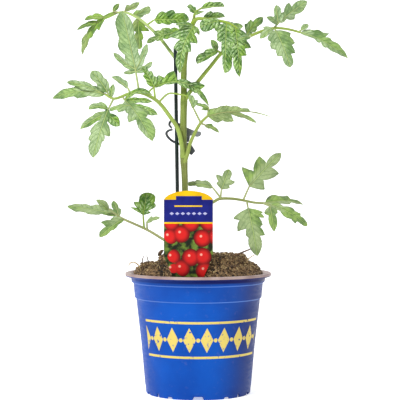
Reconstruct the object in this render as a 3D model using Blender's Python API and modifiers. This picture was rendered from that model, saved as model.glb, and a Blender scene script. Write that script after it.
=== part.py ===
"""A young tomato plant in a round nursery pot, with its soil, stake, clip and label.

The pot stands on z = 0 with its axis on the origin, and the front of the object faces -Y.
Every length below is in millimetres and is turned into metres when a mesh is made.
"""

import math
import random

import bmesh
import bpy
from mathutils import Vector

MM = 0.001
GAP = 0.3

# The front elevation. A leaf point is written as (x, depth, z), where x and z are read off the
# elevation through the pot's axis, and the point is then slid along its line of sight to its depth.
EYE_DISTANCE = 1150.0
EYE_HEIGHT = 188.0

# The pot, as radii and heights.
RIM_RADIUS = 65.0
POT_HEIGHT = 107.0
LIP_HEIGHT = 3.2
COLLAR_RADIUS = 59.8
COLLAR_FOOT = 98.2
UPPER_RADIUS = 57.8
STEP_FOOT = 84.4
BODY_RADIUS = 55.3
WAIST_RADIUS = 50.7
WAIST_HEIGHT = 44.0
FOOT_RADIUS = 46.3
WALL = 1.3
FLOOR_UNDERSIDE = 3.4
FLOOR_THICKNESS = 1.5
POT_STEPS = 32
DRAIN_COUNT = 8
DRAIN_RADIUS = 3.2
DRAIN_CIRCLE = 34.0

# The soil: a root ball's flat top, a little to the right, standing proud of the fill round it.
SOIL_STEPS = 24
BALL_OFFSET = 3.5
BALL_RADIUS = 41.0
BALL_TOP = 121.5
FILL_TOP = 115.0
FILL_EDGE = 106.2
FILL_END = 56.0
SOIL_SEED = 5

# The stake and the main stem, as (x, depth, z) and radius.
STAKE_RADIUS = 1.65
STAKE_FOOT = (-16.2, 3.6, 14.0)
STAKE_TOP = (-20.5, 3.6, 308.5)
STEM = (
    ((-10.6, 0.0, 62.0), 2.4),
    ((-11.0, 0.0, 122.0), 2.6),
    ((-11.4, 0.0, 160.0), 2.7),
    ((-12.0, 0.0, 190.0), 2.8),
    ((-13.2, 0.0, 216.0), 3.1),
    ((-13.3, 0.0, 240.0), 3.1),
    ((-12.8, 0.0, 262.0), 2.9),
    ((-12.9, 0.0, 284.0), 2.5),
    ((-11.2, 0.0, 302.0), 2.2),
    ((-7.4, 0.0, 319.0), 1.9),
    ((-4.4, 0.0, 331.0), 1.5),
    ((-3.2, 0.0, 336.0), 0.7),
)

# The label, a flat plastic tag pushed into the soil behind the front of the rim.
LABEL_DEPTH = -47.0
LABEL_CENTRE = -8.4
LABEL_HALF_WIDTH = 21.0
LABEL_THICKNESS = 0.8
LABEL_ARCH_FOOT = 172.0
LABEL_ARCH_TOP = 180.0
LABEL_TAPER_TOP = 124.0
LABEL_TONGUE_TOP = 103.0
LABEL_TONGUE_HALF_WIDTH = 12.0
LABEL_TIP = 72.0
LABEL_TIP_HALF_WIDTH = 2.5

# The leaf blades.
BLADE_THICKNESS = 0.7
BLADE_ROOT = 1.0
STALK_SIDES = 4
NOTCH = 0.85
SWELL = 0.84
SHOULDER = 0.68
PLAIN_REACH = 5.0
SLANT_AT_BASE = 72.0
SLANT_AT_TIP = 38.0
RIB_REACH = 0.16
FACE_FRONT = (0.0, -0.9, 0.4)
FACE_BELOW = (0.0, -0.86, -0.5)


def spot(point):
    """A point of the front elevation, slid along its line of sight to its depth."""
    x, depth, z = point
    spread = 1.0 + depth / EYE_DISTANCE
    return Vector((x * spread, depth, EYE_HEIGHT + (z - EYE_HEIGHT) * spread))


def mix(low, high, share):
    return low + (high - low) * share


def clear_scene():
    for thing in list(bpy.data.objects):
        bpy.data.objects.remove(thing, do_unlink=True)


def new_collection(name):
    collection = bpy.data.collections.new(name)
    bpy.context.scene.collection.children.link(collection)
    return collection


def new_material(name, colour, roughness, metallic=0.0):
    material = bpy.data.materials.new(name)
    material.use_nodes = True
    shader = material.node_tree.nodes["Principled BSDF"]
    shader.inputs["Base Color"].default_value = (*colour, 1.0)
    shader.inputs["Roughness"].default_value = roughness
    shader.inputs["Metallic"].default_value = metallic
    return material


def mesh_object(name, mesh, collection):
    made = bpy.data.objects.new(name, mesh)
    collection.objects.link(made)
    return made


def mesh_from_points(name, points, faces, collection):
    mesh = bpy.data.meshes.new(name)
    mesh.from_pydata([point * MM for point in points], [], faces)
    mesh.update()
    return mesh_object(name, mesh, collection)


def evaluated_mesh(source):
    """A new mesh of the object with its modifiers applied."""
    bpy.context.view_layer.update()
    graph = bpy.context.evaluated_depsgraph_get()
    return bpy.data.meshes.new_from_object(source.evaluated_get(graph))


def settle(source):
    """Applies the object's modifiers."""
    mesh = evaluated_mesh(source)
    source.modifiers.clear()
    source.data = mesh
    return source


def finish(thing, material, smooth_angle=40.0):
    """Gives a finished piece its material and smooth shading with sharp edges kept."""
    thing.data.materials.clear()
    thing.data.materials.append(material)
    thing.data.shade_smooth()
    thing.data.set_sharp_from_angle(angle=math.radians(smooth_angle))
    return thing


def tube(name, points, radii, collection, sides=6):
    """A round tube with filled ends along points that are already in place."""
    curve = bpy.data.curves.new(name, "CURVE")
    curve.dimensions = "3D"
    curve.bevel_depth = MM
    curve.bevel_resolution = sides // 2 - 2
    curve.use_fill_caps = True
    spline = curve.splines.new("POLY")
    spline.points.add(len(points) - 1)
    for slot, point, radius in zip(spline.points, points, radii):
        slot.co = (*(point * MM), 1.0)
        slot.radius = radius
    guide = bpy.data.objects.new(name + "_guide", curve)
    collection.objects.link(guide)
    mesh = evaluated_mesh(guide)
    welded = bmesh.new()
    welded.from_mesh(mesh)
    bmesh.ops.remove_doubles(welded, verts=welded.verts, dist=1e-6)
    bmesh.ops.recalc_face_normals(welded, faces=welded.faces)
    welded.to_mesh(mesh)
    welded.free()
    made = mesh_object(name, mesh, collection)
    made.matrix_world = guide.matrix_world
    bpy.data.objects.remove(guide, do_unlink=True)
    return made


def boolean(target, operation, other):
    """Adds a Boolean with one object or with a whole collection."""
    step = target.modifiers.new(operation.lower(), "BOOLEAN")
    step.operation = operation
    step.solver = "EXACT"
    if isinstance(other, bpy.types.Collection):
        step.operand_type = "COLLECTION"
        step.collection = other
    else:
        step.object = other


def hide_cutter(cutter):
    cutter.hide_render = True
    cutter.display_type = "WIRE"
    return cutter


def turned(name, profile, steps, collection):
    """A closed solid of revolution from a profile that runs down its outer side."""
    mesh = bpy.data.meshes.new(name)
    ends = range(len(profile) - 1)
    mesh.from_pydata([Vector((r, 0.0, z)) * MM for r, z in profile], [(i, i + 1) for i in ends], [])
    made = mesh_object(name, mesh, collection)
    screw = made.modifiers.new("turn", "SCREW")
    screw.axis = "Z"
    screw.steps = steps
    screw.render_steps = steps
    screw.use_merge_vertices = True
    screw.merge_threshold = 0.00002
    return made


def slab(name, outline, depth, thickness, collection):
    """A plate standing in the X-Z plane, with its middle at the given depth."""
    curve = bpy.data.curves.new(name, "CURVE")
    curve.dimensions = "2D"
    curve.fill_mode = "BOTH"
    curve.extrude = thickness * MM / 2.0
    spline = curve.splines.new("POLY")
    spline.points.add(len(outline) - 1)
    spline.use_cyclic_u = True
    for slot, (x, z) in zip(spline.points, outline):
        slot.co = (x * MM, z * MM, 0.0, 1.0)
    guide = bpy.data.objects.new(name + "_guide", curve)
    collection.objects.link(guide)
    guide.rotation_euler.x = math.radians(90.0)
    guide.location.y = depth * MM
    mesh = evaluated_mesh(guide)
    mesh.transform(guide.matrix_world)
    welded = bmesh.new()
    welded.from_mesh(mesh)
    bmesh.ops.remove_doubles(welded, verts=welded.verts, dist=1e-6)
    bmesh.ops.recalc_face_normals(welded, faces=welded.faces)
    welded.to_mesh(mesh)
    welded.free()
    bpy.data.objects.remove(guide, do_unlink=True)
    return mesh_object(name, mesh, collection)


def wall_profile():
    """The pot's outer side from the lip to the foot, as (radius, height)."""
    lip_foot = POT_HEIGHT - LIP_HEIGHT
    return [
        (RIM_RADIUS - 0.5, POT_HEIGHT),
        (RIM_RADIUS, POT_HEIGHT - 0.6),
        (RIM_RADIUS - 0.3, lip_foot),
        (COLLAR_RADIUS + 0.9, lip_foot - 0.5),
        (COLLAR_RADIUS, lip_foot - 1.4),
        (COLLAR_RADIUS - 0.3, COLLAR_FOOT + 0.7),
        (UPPER_RADIUS, COLLAR_FOOT - 0.5),
        (UPPER_RADIUS - 1.2, STEP_FOOT + 0.6),
        (BODY_RADIUS, STEP_FOOT - 0.4),
        (WAIST_RADIUS, WAIST_HEIGHT),
        (FOOT_RADIUS + 1.1, 8.0),
        (FOOT_RADIUS, 0.0),
    ]


def inner_radius(height):
    """The pot's inner radius at a height between the floor and the lip."""
    ladder = sorted((z, r - WALL) for r, z in wall_profile()[4:])
    for (low_z, low_r), (high_z, high_r) in zip(ladder, ladder[1:]):
        if low_z <= height <= high_z:
            return mix(low_r, high_r, (height - low_z) / (high_z - low_z))
    return ladder[-1][1]


def make_pot(parts, cutters):
    floor_top = FLOOR_UNDERSIDE + FLOOR_THICKNESS
    inside = [(inner_radius(z), z) for z in (floor_top, 8.0, WAIST_HEIGHT, STEP_FOOT - 1.2)]
    inside += [
        (UPPER_RADIUS - 1.2 - WALL, STEP_FOOT),
        (UPPER_RADIUS - WALL, COLLAR_FOOT - 1.2),
        (COLLAR_RADIUS - 0.3 - WALL, COLLAR_FOOT),
        (COLLAR_RADIUS - WALL, POT_HEIGHT - LIP_HEIGHT - 0.6),
        (RIM_RADIUS - 2.8, POT_HEIGHT),
    ]
    foot_inner = FOOT_RADIUS - WALL
    underside = [(foot_inner, 0.0), (foot_inner, FLOOR_UNDERSIDE), (0.0, FLOOR_UNDERSIDE)]
    profile = wall_profile() + underside + [(0.0, floor_top)] + inside
    pot = turned("pot", profile + profile[:1], POT_STEPS, parts)
    for cutter in foot_notches(cutters) + drain_holes(cutters):
        boolean(pot, "DIFFERENCE", cutter)
    return pot


def foot_notches(cutters):
    """Wedges that cut the notches out of the pot's foot, alike at the front and the back."""
    wide = [(0.0, 8.6, 3.0)]
    narrow = [(side * angle, width, height) for side in (1, -1)
              for angle, width, height in ((32.0, 5.0, 1.8), (49.0, 2.6, 3.0), (69.0, 5.0, 2.4))]
    made = []
    for turn in (0.0, 180.0):
        for angle, width, height in wide + narrow:
            made.append(notch_wedge(angle + turn, width, height, cutters))
    return made


def notch_wedge(angle, width, height, cutters):
    """A trapezoid that runs out through the foot in the direction of the angle, 0 at the front."""
    heading = math.radians(angle - 90.0)
    out = Vector((math.cos(heading), math.sin(heading), 0.0))
    side = Vector((-out.y, out.x, 0.0))
    points = []
    for reach in (FOOT_RADIUS - 4.0, FOOT_RADIUS + 4.0):
        for across, up in ((-0.65, -1.0), (0.65, -1.0), (0.4, height), (-0.4, height)):
            points.append(out * reach + side * (across * width) + Vector((0.0, 0.0, up)))
    faces = [(3, 2, 1, 0), (4, 5, 6, 7), (0, 1, 5, 4), (1, 2, 6, 5), (2, 3, 7, 6), (3, 0, 4, 7)]
    cutter = mesh_from_points("foot_notch", points, faces, cutters)
    return hide_cutter(outward(cutter))


def outward(thing):
    """Turns every face of a closed mesh to the outside."""
    turned_mesh = bmesh.new()
    turned_mesh.from_mesh(thing.data)
    bmesh.ops.recalc_face_normals(turned_mesh, faces=turned_mesh.faces)
    turned_mesh.to_mesh(thing.data)
    turned_mesh.free()
    return thing


def drain_holes(cutters):
    """Round cutters through the floor, on one circle."""
    made = []
    for index in range(DRAIN_COUNT):
        angle = math.tau * (index + 0.5) / DRAIN_COUNT
        hole = bmesh.new()
        bmesh.ops.create_cone(hole, cap_ends=True, segments=8, radius1=DRAIN_RADIUS * MM,
                              radius2=DRAIN_RADIUS * MM, depth=6.0 * MM)
        mesh = bpy.data.meshes.new("drain_hole")
        hole.to_mesh(mesh)
        hole.free()
        cutter = mesh_object("drain_hole", mesh, cutters)
        cutter.location = (DRAIN_CIRCLE * math.cos(angle) * MM, DRAIN_CIRCLE * math.sin(angle) * MM,
                           (FLOOR_UNDERSIDE + FLOOR_THICKNESS / 2.0) * MM)
        made.append(hide_cutter(cutter))
    return made


def soil_height(radius):
    """The smooth height of the soil, before its crumbs."""
    if radius < BALL_RADIUS:
        return BALL_TOP - 0.8 * (radius / BALL_RADIUS) ** 4
    if radius < BALL_RADIUS + 3.0:
        return mix(BALL_TOP - 0.8, FILL_TOP, (radius - BALL_RADIUS) / 3.0)
    edge = inner_radius(FILL_EDGE)
    share = (radius - BALL_RADIUS - 3.0) / (edge - BALL_RADIUS - 3.0)
    return mix(FILL_TOP, FILL_EDGE, share * share)


def make_soil(parts, holes):
    """The soil fills the pot up to its wall and is heaped over the middle."""
    draw = random.Random(SOIL_SEED)
    bottom = FLOOR_UNDERSIDE + FLOOR_THICKNESS + GAP
    wall_heights = (FILL_EDGE, COLLAR_FOOT, COLLAR_FOOT - 1.2, STEP_FOOT, STEP_FOOT - 1.2,
                    WAIST_HEIGHT, 8.0, bottom)
    rings = (0.0, 9.0, 18.0, 27.0, 35.0, BALL_RADIUS, BALL_RADIUS + 3.0, 48.5, 53.0)
    profile = [(r, soil_height(r)) for r in rings]
    profile += [(inner_radius(z) - GAP - 0.25, z) for z in wall_heights]
    profile += [(0.0, bottom)]
    soil = settle(turned("soil", profile, SOIL_STEPS, parts))
    for corner in soil.data.vertices:
        radius = math.hypot(corner.co.x, corner.co.y) / MM
        if corner.co.z / MM > FILL_EDGE + 0.5 and radius < FILL_END:
            offset = BALL_OFFSET * min(1.0, (FILL_END - radius) / (FILL_END - BALL_RADIUS))
            corner.co.z += draw.uniform(-1.1, 1.5) * MM
            corner.co.x += (offset + draw.uniform(-1.0, 1.0)) * MM
            corner.co.y += draw.uniform(-1.0, 1.0) * MM
    outward(soil)
    for hole in holes:
        boolean(soil, "DIFFERENCE", hole)
    return soil


def stem_points():
    return [spot(point) for point, radius in STEM]


def make_stem(parts):
    return tube("main_stem", stem_points(), [radius for point, radius in STEM], parts, sides=10)


def stem_clearance(cutters):
    """The stem grown by the gap that every piece beside it keeps."""
    grown = (radius * 1.02 + GAP for point, radius in STEM)
    return hide_cutter(tube("stem_clearance", stem_points(), list(grown), cutters, sides=10))


def stake_line():
    """The stake's foot point, foot, head and rounded top, with their radii."""
    foot = spot(STAKE_FOOT)
    top = spot(STAKE_TOP)
    heading = (top - foot).normalized()
    points = [foot, foot + heading * 6.0, top - heading * 0.8, top]
    return points, [0.4, STAKE_RADIUS, STAKE_RADIUS, 0.9]


def make_stake(parts):
    points, radii = stake_line()
    return tube("stake", points, radii, parts, sides=12)


def stake_clearance(cutters):
    points, radii = stake_line()
    points[0] = points[0] - Vector((0.0, 0.0, GAP * 2.0))
    radii = [radius * 1.02 + GAP for radius in radii]
    return hide_cutter(tube("stake_clearance", points, radii, cutters, sides=12))


def label_outline(grow):
    """Half-round top, straight sides, a taper and a tongue, as (x, z), grown on all sides."""
    half = LABEL_HALF_WIDTH + grow
    rise = LABEL_ARCH_TOP - LABEL_ARCH_FOOT
    arc = []
    for index in range(9):
        across = math.cos(math.pi * index / 8)
        up = LABEL_ARCH_FOOT + rise * (1.0 - across * across) ** 0.6 + grow
        arc.append((half * across, up))
    left = [
        (-half, LABEL_TAPER_TOP),
        (-LABEL_TONGUE_HALF_WIDTH - grow, LABEL_TONGUE_TOP),
        (-LABEL_TIP_HALF_WIDTH - grow, LABEL_TIP - grow),
    ]
    right = [(-x, z) for x, z in reversed(left)]
    return [(LABEL_CENTRE + x, z) for x, z in arc + left + right]


def make_label(parts):
    return slab("label", label_outline(0.0), LABEL_DEPTH, LABEL_THICKNESS, parts)


def label_clearance(cutters):
    thickness = LABEL_THICKNESS + 2.0 * GAP
    return hide_cutter(slab("label_clearance", label_outline(GAP), LABEL_DEPTH, thickness, cutters))


def make_clip(parts, cutters, scraps):
    """A one-piece plastic clip behind the stem and the stake, with two fingers and two levers."""
    upper_plate = ((-17.6, 240.4), (-12.8, 237.2), (-2.6, 232.8), (1.6, 232.6), (2.8, 231.0),
                   (1.4, 228.8), (-1.2, 228.2), (-5.4, 229.8), (-7.4, 229.4), (-8.6, 223.8),
                   (-10.4, 223.6), (-9.8, 229.6), (-13.6, 233.8), (-18.0, 237.0))
    lower_block = ((-11.2, 222.6), (-7.2, 221.8), (-3.1, 215.4), (-6.1, 212.0), (-11.0, 216.2))
    upper_finger = ((-14.0, 6.2, 237.4), (-19.5, 7.2, 240.0), (-24.2, 5.6, 241.8),
                    (-25.8, 3.6, 238.6), (-23.6, 2.6, 235.6))
    lower_finger = ((-23.0, 1.4, 234.2), (-26.4, 1.2, 233.4), (-28.4, 2.2, 231.0),
                    (-27.0, 4.2, 227.6), (-23.2, 7.0, 224.2), (-19.0, 8.0, 222.2),
                    (-13.4, 7.6, 220.0), (-9.6, 7.0, 219.4))
    pivot = ((-15.2, 7.2, 239.0), (-15.0, 7.4, 219.2))
    pieces = [
        slab("clip", upper_plate, 6.4, 1.6, parts),
        slab("clip_block", lower_block, 6.8, 3.6, scraps),
        tube("clip_upper", [spot(p) for p in upper_finger], (1.0, 1.1, 1.1, 1.0, 0.8), scraps),
        tube("clip_lower", [spot(p) for p in lower_finger], (0.8, 1.0) + 6 * (1.1,), scraps),
        tube("clip_pivot", [spot(p) for p in pivot], (1.5, 1.5), scraps, sides=8),
    ]
    clip = pieces[0]
    boolean(clip, "UNION", scraps)
    for cutter in cutters:
        boolean(clip, "DIFFERENCE", cutter)
    settle(clip)
    empty_scraps(scraps)
    return clip


def empty_scraps(scraps):
    for piece in list(scraps.objects):
        bpy.data.objects.remove(piece, do_unlink=True)


def blade(stalk, tip, lobes, face=FACE_FRONT, arch=0.10, bow=0.0, fold=0.12, under=False):
    """One leaflet. stalk runs from the rib that carries it to the blade's base. lobes are
    (share of the length where the side vein leaves, reach to the left, reach to the right, and
    sometimes the share of the reach that the notch before the next lobe keeps), seen from the
    front with the tip ahead. face is the normal of the side seen from the front, and under says
    that this is the leaf's underside. arch and bow bend the midrib out of and in the blade's
    plane, and fold lifts its two halves."""
    return {"stalk": stalk, "tip": tip, "lobes": lobes, "face": face, "arch": arch,
            "bow": bow, "fold": fold, "under": under}


def stations(lobes):
    """Places along the midrib, as (share, left reach, right reach), from the base to the tip."""
    found = [(0.0, BLADE_ROOT, BLADE_ROOT)]
    for index, lobe in enumerate(lobes):
        share, left, right = lobe[:3]
        last_share, last_left, last_right = found[-1]
        if max(left, right) > PLAIN_REACH:
            found.append((mix(last_share, share, 0.45), mix(last_left, left, SWELL),
                          mix(last_right, right, SWELL)))
        found.append((share, left, right))
        if index + 1 < len(lobes):
            notch = lobe[3] if len(lobe) > 3 else NOTCH
            next_share, next_left, next_right = lobes[index + 1][:3]
            found.append((mix(share, next_share, 0.4), notch * min(left, next_left),
                          notch * min(right, next_right)))
    share, left, right = found[-1]
    found.append((mix(share, 1.0, 0.5), left * SHOULDER, right * SHOULDER))
    found.append((1.0, 0.0, 0.0))
    return found


def blade_frame(spec):
    """The blade's base, chord, length, left side and upper normal."""
    base = spot(spec["stalk"][-1])
    chord = spot(spec["tip"]) - base
    length = chord.length
    ahead = chord.normalized()
    seen = Vector(spec["face"])
    seen = (seen - ahead * seen.dot(ahead)).normalized()
    left = seen.cross(ahead)
    upper = -seen if spec["under"] else seen
    return base, chord, length, left, upper


def midrib_point(spec, frame, share):
    base, chord, length, left, upper = frame
    swell = 4.0 * share * (1.0 - share)
    return base + chord * share + upper * (spec["arch"] * length * swell) + left * (spec["bow"] * swell)


def edge_point(spec, frame, share, reach, side):
    """A point at the end of a side vein. side is 1 for left and -1 for right."""
    base, chord, length, left, upper = frame
    step = 0.02
    before = midrib_point(spec, frame, max(share - step, 0.0))
    after = midrib_point(spec, frame, min(share + step, 1.0))
    ahead = (after - before).normalized()
    slant = math.radians(mix(SLANT_AT_BASE, SLANT_AT_TIP, share))
    across = (left - ahead * left.dot(ahead)).normalized()
    lift = spec["fold"] * reach - 0.012 * reach * reach
    vein = ahead * (reach * math.cos(slant)) + across * (side * reach * math.sin(slant))
    return midrib_point(spec, frame, share) + vein + upper * lift


def blade_solid(name, spec, scraps):
    """The blade as a thin plate of triangles, split alike on both faces."""
    frame = blade_frame(spec)
    places = stations(spec["lobes"])
    points = []
    for share, left, right in places[:-1]:
        points.append(midrib_point(spec, frame, share))
        points.append(edge_point(spec, frame, share, left, 1))
        points.append(edge_point(spec, frame, share, right, -1))
    points.append(midrib_point(spec, frame, 1.0))
    faces = []
    for index in range(len(places) - 2):
        rib, rib_on = 3 * index, 3 * index + 3
        for side, reach in ((1, 1), (2, 2)):
            near, far = rib + side, rib_on + side
            if places[index][reach] < places[index + 1][reach]:
                pair = [(rib, rib_on, near), (rib_on, far, near)]
            else:
                pair = [(rib, rib_on, far), (rib, far, near)]
            faces += pair if side == 1 else [face[::-1] for face in pair]
    last = 3 * (len(places) - 2)
    tip = len(points) - 1
    faces += [(last, tip, last + 1), (tip, last, last + 2)]
    made = mesh_from_points(name, points, faces, scraps)
    shell = made.modifiers.new("thickness", "SOLIDIFY")
    shell.thickness = BLADE_THICKNESS * MM
    shell.offset = 0.0
    settle(made)
    return outward(made)


def stalk_solid(name, spec, scraps):
    """The leaflet's stalk, run on as a rib into the blade."""
    frame = blade_frame(spec)
    points = [spot(point) for point in spec["stalk"]]
    points.append(midrib_point(spec, frame, RIB_REACH))
    radii = [0.95] + [0.85] * (len(points) - 2) + [0.65]
    return tube(name, points, radii, scraps, sides=STALK_SIDES)


def make_leaf(name, rib, radii, leaflets, parts, scraps, cutters):
    """A compound leaf: its stalk, and every leaflet sunk into it, fused in one solid."""
    points = [spot(point) for point in rib]
    steps = len(points) - 1
    thickness = [mix(radii[0], radii[1], index / steps) for index in range(len(points))]
    leaf = tube(name, points, thickness, parts)
    for index, spec in enumerate(leaflets):
        blade_solid(f"blade_{index}", spec, scraps)
        stalk_solid(f"stalk_{index}", spec, scraps)
    boolean(leaf, "UNION", scraps)
    settle(leaf)
    empty_scraps(scraps)
    for cutter in cutters:
        boolean(leaf, "DIFFERENCE", cutter)
    return settle(leaf)


def mid_left_leaf():
    """The leaf that leaves the stem at the front and crosses the stake to the left."""
    rib = ((-13.4, -1.0, 210.0), (-14.6, -4.6, 220.0), (-18.0, -6.8, 234.6), (-25.3, -9.0, 246.0),
           (-34.6, -12.0, 258.0), (-43.6, -14.0, 264.2), (-52.7, -15.0, 267.4), (-62.0, -16.0, 266.4),
           (-74.8, -18.0, 261.9), (-83.5, -18.0, 266.1))
    leaflets = (
        # The leaflet at the far end, with its long upper lobe and its round one above.
        blade(((-83.5, -18.0, 266.1),), (-130.3, -12.0, 262.0),
              ((0.14, 5.5, 7), (0.40, 8, 8), (0.66, 6, 6.5)), bow=-2.0),
        blade(((-86.0, -18.0, 267.0), (-92.0, -18.4, 269.6)), (-117.4, -15.0, 276.7),
              ((0.35, 4.6, 4.8), (0.70, 3.6, 3.8))),
        blade(((-80.6, -18.0, 264.8), (-80.8, -18.4, 267.4)), (-95.2, -19.0, 286.6),
              ((0.30, 5.5, 6.5), (0.60, 6.6, 6.2))),
        blade(((-78.0, -18.0, 263.4),), (-75.8, -20.0, 275.0), ((0.45, 3, 3.2),)),
        # The hanging leaflet with three narrow lobes at its base.
        blade(((-75.6, -18.0, 262.0), (-80.5, -20.0, 252.2)), (-93.8, -34.0, 209.0),
              ((0.14, 4, 4, 0.9), (0.43, 11, 10.4, 0.8), (0.56, 7, 10.4, 0.9), (0.70, 5.6, 8.6))),
        blade(((-80.6, -20.0, 252.4),), (-97.9, -24.0, 252.2), ((0.30, 2.6, 5), (0.64, 2.6, 4.4)),
              bow=-2.0),
        blade(((-81.0, -21.4, 249.0),), (-105.6, -28.0, 234.7), ((0.26, 4.2, 5.2), (0.58, 4.4, 4.8))),
        blade(((-81.2, -21.6, 248.2),), (-70.2, -27.0, 237.5), ((0.42, 5, 6.5),)),
        # The broad hanging leaflet near the middle, with its side lobes.
        blade(((-68.0, -17.0, 264.2), (-65.1, -18.0, 259.9)), (-41.0, -52.0, 223.9),
              ((0.10, 5, 5, 0.9), (0.26, 8.5, 8, 0.95), (0.42, 10.5, 12, 0.6), (0.66, 10.5, 7)),
              face=(0.1, -0.9, 0.5)),
        blade(((-60.8, -27.2, 255.7),), (-79.4, -26.0, 252.6), ((0.40, 6.4, 2.5), (0.74, 4, 2))),
        blade(((-64.6, -18.2, 259.4),), (-41.0, -20.0, 259.2), ((0.30, 3.4, 3.6), (0.66, 3.2, 3.2))),
        blade(((-61.0, -23.6, 254.4),), (-36.0, -36.0, 247.6), ((0.28, 4.6, 5.2), (0.62, 4.6, 5))),
        blade(((-65.1, -17.4, 260.6),), (-41.0, -22.0, 265.0), ((0.22, 3.4, 2.6), (0.60, 3.6, 2.6)),
              bow=5.0),
        blade(((-60.6, -16.0, 266.6), (-63.0, -15.0, 271.7)), (-77.6, -8.0, 281.4),
              ((0.16, 2.6, 4.6), (0.52, 2.6, 4.6)), face=FACE_BELOW, under=True),
        # The tall leaflet that shows its underside, with its basal lobes.
        blade(((-52.7, -15.0, 267.4), (-55.3, -15.0, 283.0), (-56.4, -14.4, 289.5)), (-68.2, -14.0, 340.2),
              ((0.12, 8, 7, 0.9), (0.34, 12.4, 7.6), (0.66, 11.2, 8.4)),
              face=(0.0, -0.96, -0.25), under=True, arch=0.06),
        blade(((-56.2, -14.5, 288.0),), (-75.8, -18.0, 303.0), ((0.30, 4, 4.2), (0.66, 3.6, 3.6)),
              under=True),
        blade(((-56.1, -14.5, 287.4),), (-45.6, -18.0, 311.0), ((0.30, 4, 4), (0.66, 3.6, 3.8)),
              under=True),
        blade(((-55.9, -14.7, 286.6),), (-67.1, -18.0, 284.8), ((0.40, 2, 3.2),), under=True),
        blade(((-55.7, -14.8, 285.8),), (-40.9, -20.0, 295.1), ((0.30, 3.4, 4.2), (0.64, 2.6, 3.6)),
              under=True),
        # The leaflets near the stem, one of them arched in front of it.
        blade(((-38.4, -12.9, 261.0), (-39.6, -15.4, 272.4)), (-49.4, -17.0, 290.6),
              ((0.20, 5, 6.4), (0.50, 5.4, 5.6), (0.76, 3.4, 3.4))),
        blade(((-46.0, -14.4, 265.4), (-43.4, -15.2, 268.8), (-39.0, -14.6, 272.4)), (9.6, -8.0, 255.2),
              ((0.07, 9, 2, 0.6), (0.24, 11, 2.6, 0.4), (0.46, 4, 5.6, 0.9), (0.66, 10.5, 5, 0.9),
               (0.80, 3.2, 3.4)),
              face=(0.0, -0.95, 0.3), arch=0.02, bow=12.6),
        blade(((-35.0, -12.4, 258.8), (-29.7, -11.0, 264.4), (-25.3, -10.0, 266.7), (-19.7, -9.6, 266.3),
               (-9.6, -9.4, 264.4)), (-8.0, -9.6, 268.6), ((0.40, 1.6, 1.6),), arch=0.0),
    )
    return rib, (2.2, 0.95), leaflets


def mid_right_leaf():
    """The leaf that leaves the stem beside the clip and points to the right."""
    rib = ((-12.6, -0.6, 205.0), (-9.8, -3.4, 212.0), (-7.2, -6.0, 221.7), (-3.0, -8.0, 231.1),
           (2.1, -10.0, 240.0), (8.4, -13.0, 246.3))
    seen_below = (0.0, -0.85, -0.5)
    leaflets = (
        blade(((8.4, -13.0, 246.3),), (67.6, -34.0, 244.6),
              ((0.055, 6.6, 9.8, 0.85), (0.26, 7.2, 11.8, 0.9), (0.42, 5.6, 2, 0.9), (0.58, 3.6, 1.2, 0.5),
               (0.72, 0.8, 0.8)),
              face=seen_below, under=True, arch=0.06, bow=4.0),
        blade(((26.4, -18.5, 250.3),), (52.2, -30.0, 240.2), ((0.35, 2.6, 3.0), (0.70, 2.6, 2.4)),
              face=seen_below, under=True),
        blade(((2.2, -10.2, 240.4), (-4.3, -14.0, 253.4)), (-9.2, -15.5, 264.2),
              ((0.20, 1.2, 7), (0.55, 1.2, 5.4)), face=(0.0, -0.95, 0.3)),
        blade(((2.1, -10.0, 240.0), (6.2, -12.0, 238.4)), (18.8, -18.0, 231.5),
              ((0.28, 3.4, 3), (0.58, 2.6, 2.4)), face=(0.0, -0.8, 0.6)),
        blade(((8.4, -13.0, 246.3), (9.4, -14.4, 253.6)), (-3.0, -14.0, 257.2),
              ((0.30, 2.2, 2.4), (0.64, 2, 2))),
        blade(((9.2, -14.2, 252.2),), (2.4, -15.0, 252.4), ((0.40, 1.5, 1.5),)),
    )
    return rib, (2.0, 1.1), leaflets


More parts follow.
